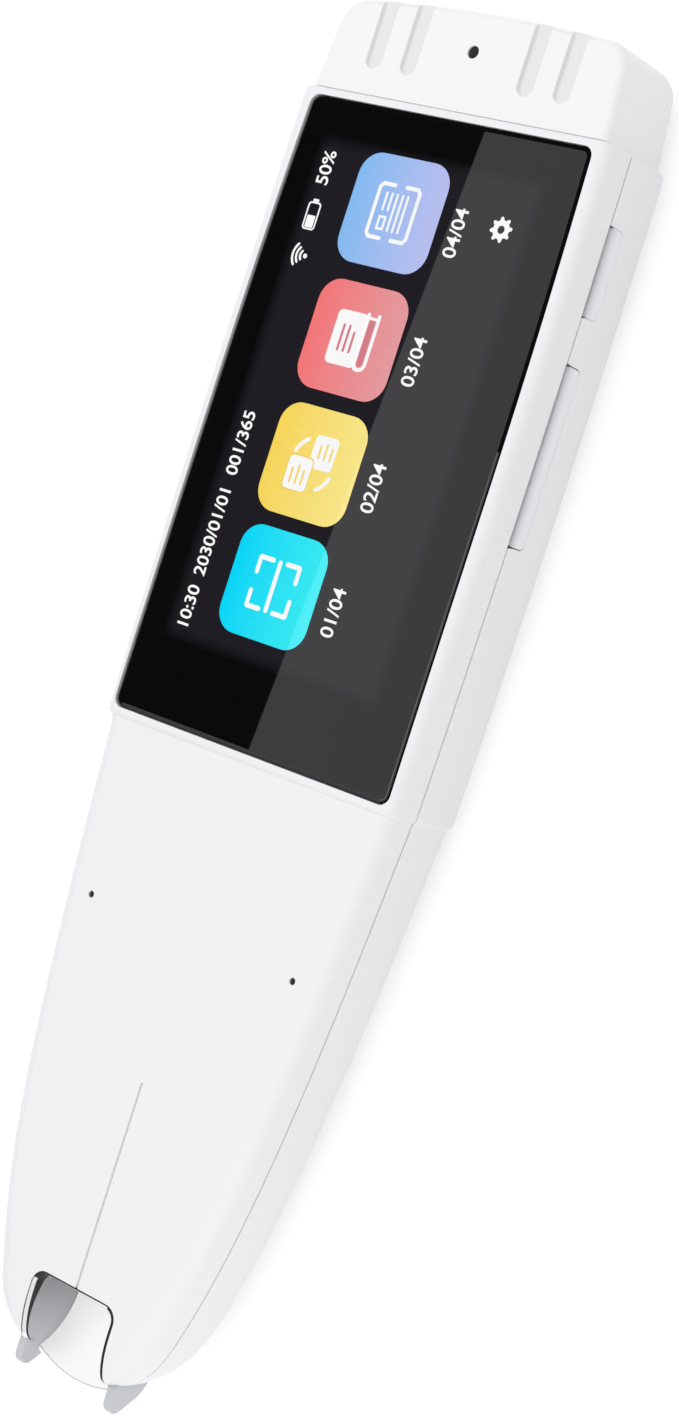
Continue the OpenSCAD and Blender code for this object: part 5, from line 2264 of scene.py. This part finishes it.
@dataclass
class Studio:
    """The camera, the floor, the soft light and the dark card that the glass reflects."""

    form: PenForm
    camera_at: Point = (173.49, -13.83, 244.52)
    right: Point = (0.7683, 0.3070, -0.5617)
    up: Point = (-0.2743, 0.9507, 0.1443)
    back: Point = (0.5783, 0.0432, 0.8147)
    lens: float = 72.25
    sky_colour: Colour = (0.985, 0.99, 1.0)
    sky: float = 0.76
    seen_sky: float = 1.0
    key_watts: float = 1.1
    fill_watts: float = 0.055
    floor_grey: float = 0.86
    floor_glow: float = 0.4
    floor_half: float = 3.0
    card_x: float = -420.0
    card_half: float = 900.0
    card_grey: float = 0.02

    def camera(self) -> None:
        """Sets up the camera."""
        data = bpy.data.cameras.new("camera")
        data.sensor_width = 36.0
        data.sensor_fit = "AUTO"
        data.lens = self.lens
        data.clip_start = 0.005
        data.clip_end = 20.0
        camera = new_object("camera", data)
        turn = Matrix((self.right, self.up, self.back)).transposed()
        camera.matrix_world = Matrix.Translation(Vector(self.camera_at) * MM) @ turn.to_4x4()
        bpy.context.scene.camera = camera

    @staticmethod
    def seen(tree: Tree, low: float, high: float) -> Socket:
        """A value for rays from the camera, from gloss or through glass, and one for the rest.

        Args:
            tree: The tree it is made in.
            low: The value for the rest.
            high: The value for those rays.

        Returns:
            The value's socket.
        """
        rays = tree.node("ShaderNodeLightPath").outputs
        level = tree.sum("MAXIMUM", rays["Is Camera Ray"], rays["Is Glossy Ray"])
        return tree.spread(tree.sum("MAXIMUM", level, rays["Is Transmission Ray"]), low, high)

    @staticmethod
    def sheet(name: str, corners: Sequence[Vector | Point], shader: Shader) -> Thing:
        """A flat sheet that stands or lies beside the pen and isn't part of it.

        Args:
            name: Its name.
            corners: Its corners, in metres.
            shader: Its material's shader.

        Returns:
            The sheet.
        """
        mesh = bpy.data.meshes.new(name)
        mesh.from_pydata(list(corners), [], [range(len(corners))])
        sheet = clad(new_object(name, mesh), shader.material)
        return sheet

    def floor(self) -> None:
        """Lays the pale floor, which keeps the pen's soft shadow."""
        shader = Shader("floor")
        grey, half = self.floor_grey, self.floor_half
        matt = shader.node("ShaderNodeBsdfDiffuse", color=(grey, grey, grey, 1))
        glow = shader.node("ShaderNodeEmission", color=(1, 1, 1, 1))
        both = shader.node("ShaderNodeAddShader")
        shader.join(self.seen(shader, 0.0, self.floor_glow), glow.inputs["Strength"])
        shader.join(matt.outputs[0], both.inputs[0])
        shader.join(glow.outputs[0], both.inputs[1])
        shader.join(both.outputs[0], shader.tree.nodes["Material Output"].inputs["Surface"])
        shader.tree.nodes.remove(shader.base)
        corners = [(x * half, y * half, -0.0001) for x, y in ((-1, -1), (1, -1), (1, 1), (-1, 1))]
        self.sheet("floor", corners, shader)

    def light(self) -> None:
        """Sets an even pale sky, one large soft lamp overhead and a small one beside the handle."""
        world = bpy.data.worlds.new("sky")
        bpy.context.scene.world = world
        world.use_nodes = True
        tree = Tree(world.node_tree)
        sky = tree.tree.nodes["Background"].inputs
        sky["Color"].default_value = (*self.sky_colour, 1)
        tree.join(self.seen(tree, self.sky, self.seen_sky), sky["Strength"])
        self.lamp("key", (-0.22, 0.15, 0.55), (0.0, -0.02, 0.0), 0.5, self.key_watts)
        self.lamp("fill", (0.115, -0.21, 0.06), (0.0, -0.07, 0.005), 0.12, self.fill_watts)

    @staticmethod
    def lamp(name: str, at: Point, towards: Point, size: float, watts: float) -> None:
        """Hangs a soft square lamp that reflections don't show.

        Args:
            name: The lamp's name.
            at: Where it is, in metres.
            towards: Where it points.
            size: Its width.
            watts: Its power.
        """
        data = bpy.data.lights.new(name, "AREA")
        data.shape = "SQUARE"
        data.size = size
        data.energy = watts
        lamp = new_object(name, data)
        aim = (Vector(towards) - Vector(at)).to_track_quat("-Z", "Y")
        lamp.matrix_world = Matrix.Translation(at) @ aim.to_matrix().to_4x4()
        lamp.visible_glossy = False

    def card(self) -> None:
        """Stands a dark card beside the pen. Only the polished pieces see it.

        Its top edge is where the camera, mirrored in the glass, sees a line across the glass.
        """
        f, eye = self.form, Vector(self.camera_at)
        eye.z = 2 * f.body_t - eye.z
        edge: list[Vector] = []
        for x, y in ((0.3, f.y_foot + 1), (4.8, f.y_end - 0.9)):
            way = Vector((x, y, f.body_t)) - eye
            edge.append(eye + way * ((self.card_x - eye.x) / way.x))
        slope = (edge[1].z - edge[0].z) / (edge[1].y - edge[0].y)
        ends = (-self.card_half, self.card_half)
        line = [(y, 5.0) for y in ends]
        line += [(y, edge[0].z + slope * (y - edge[0].y)) for y in ends[::-1]]
        shader, grey = Shader("dark_card"), self.card_grey
        shader.set(base_color=(grey, grey, grey), roughness=1.0, specular_ior_level=0.0)
        card = self.sheet("dark_card", [Vector((self.card_x, y, z)) * MM for y, z in line], shader)
        card.visible_camera = False
        card.visible_diffuse = False
        card.visible_shadow = False
        card.visible_transmission = False

    def build(self) -> None:
        """Builds the studio."""
        for make in (self.camera, self.floor, self.light, self.card):
            make()
        bpy.context.scene.view_settings.view_transform = "Standard"


def main() -> None:
    """Builds every class in order."""
    logging.basicConfig(level=logging.INFO, format="%(name)s: %(message)s")
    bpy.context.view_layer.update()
    form = PenForm()
    shell = Moulded("white_plastic", srgb(244, 243, 245)).make()
    cap = Moulded("cap_plastic", srgb(249, 248, 248), 0.45).make()
    # The grooves' finish has a grain of its own; its darker colour is painted shade.
    grip = Moulded("grip_plastic", srgb(236, 235, 236), 0.6, 3.0, 0.01).make()
    # The key darkens towards the seam, from Z 8.0 to 9.4: painted shade.
    fade = {"deep": srgb(216, 216, 219), "axis": "Z", "start": 8.0, "end": 9.4}
    key = PaintedLightRamp("key_plastic", srgb(242, 242, 246), 0.4, **fade).make()
    # The liner glows and is paler deep inside than at its lip: painted light in its recess.
    fade = {"deep": srgb(253, 253, 253), "start": -100.0, "end": -96.0}
    pale = srgb(236, 236, 237)
    liner = PaintedLightRamp("liner_plastic", pale, 0.35, depth=0.002, glow=0.42, **fade).make()
    # The fork darkens from its tip towards the body: painted shade.
    grey = PaintedLightRamp("fork_plastic", srgb(203, 204, 207), 0.45, deep=srgb(160, 160, 163)).make()
    # Black for the cloth in the holes, and for painted shade on the window's rim.
    dark = Moulded("dark_seal", (0.01, 0.01, 0.011), 0.6).make()
    chrome = Metal("bright_rim", (0.86, 0.86, 0.88), 0.08, depth=0.0005, stretch=EVEN).make()
    satin = Metal("satin_rim", (0.96, 0.96, 0.97), depth=0.0005, stretch=EVEN).make()
    # A greyer copy of the liner's finish for its lip: painted shade.
    lip = Moulded("liner_lip", srgb(220, 221, 224), 0.4).make()
    steel = Metal("bright_steel", (0.62, 0.63, 0.65), 0.25).make()
    gold = Metal("gold_plate", (0.75, 0.55, 0.2), 0.25).make()
    glass = InkedGlass("inked_glass", (0.0022, 0.0022, 0.0025)).make()
    # Matt black and greys for the glass's right and lower edge: painted reflection.
    ink = Moulded("edge_ink", (0.0018, 0.0018, 0.002), 0.7, sheen=0.05).make()
    painted_grey_edge = Moulded("ground_edge", (0.09, 0.09, 0.092), 0.35, sheen=0.4).make()
    soft = Moulded("soft_edge", srgb(62, 62, 64), 0.5, sheen=0.1).make()
    white = Lit("screen_white", srgb(250, 250, 250), srgb(244, 244, 246), streak=0.01).make()
    Studio(form).build()
    housings = Housings(form, shell)
    housings.front()
    housings.rear()
    EndCap(form, cap, grip).build()
    CoverGlass(form, glass, ink, painted_grey_edge, soft).build()
    Screen(white).build()
    SideKeys(form, key).build()
    Nose(form, chrome, satin, dark, liner, lip, shell, grey, steel).build()
    Inside(form, steel, gold, dark).build()


if __name__ == "__main__":
    main()
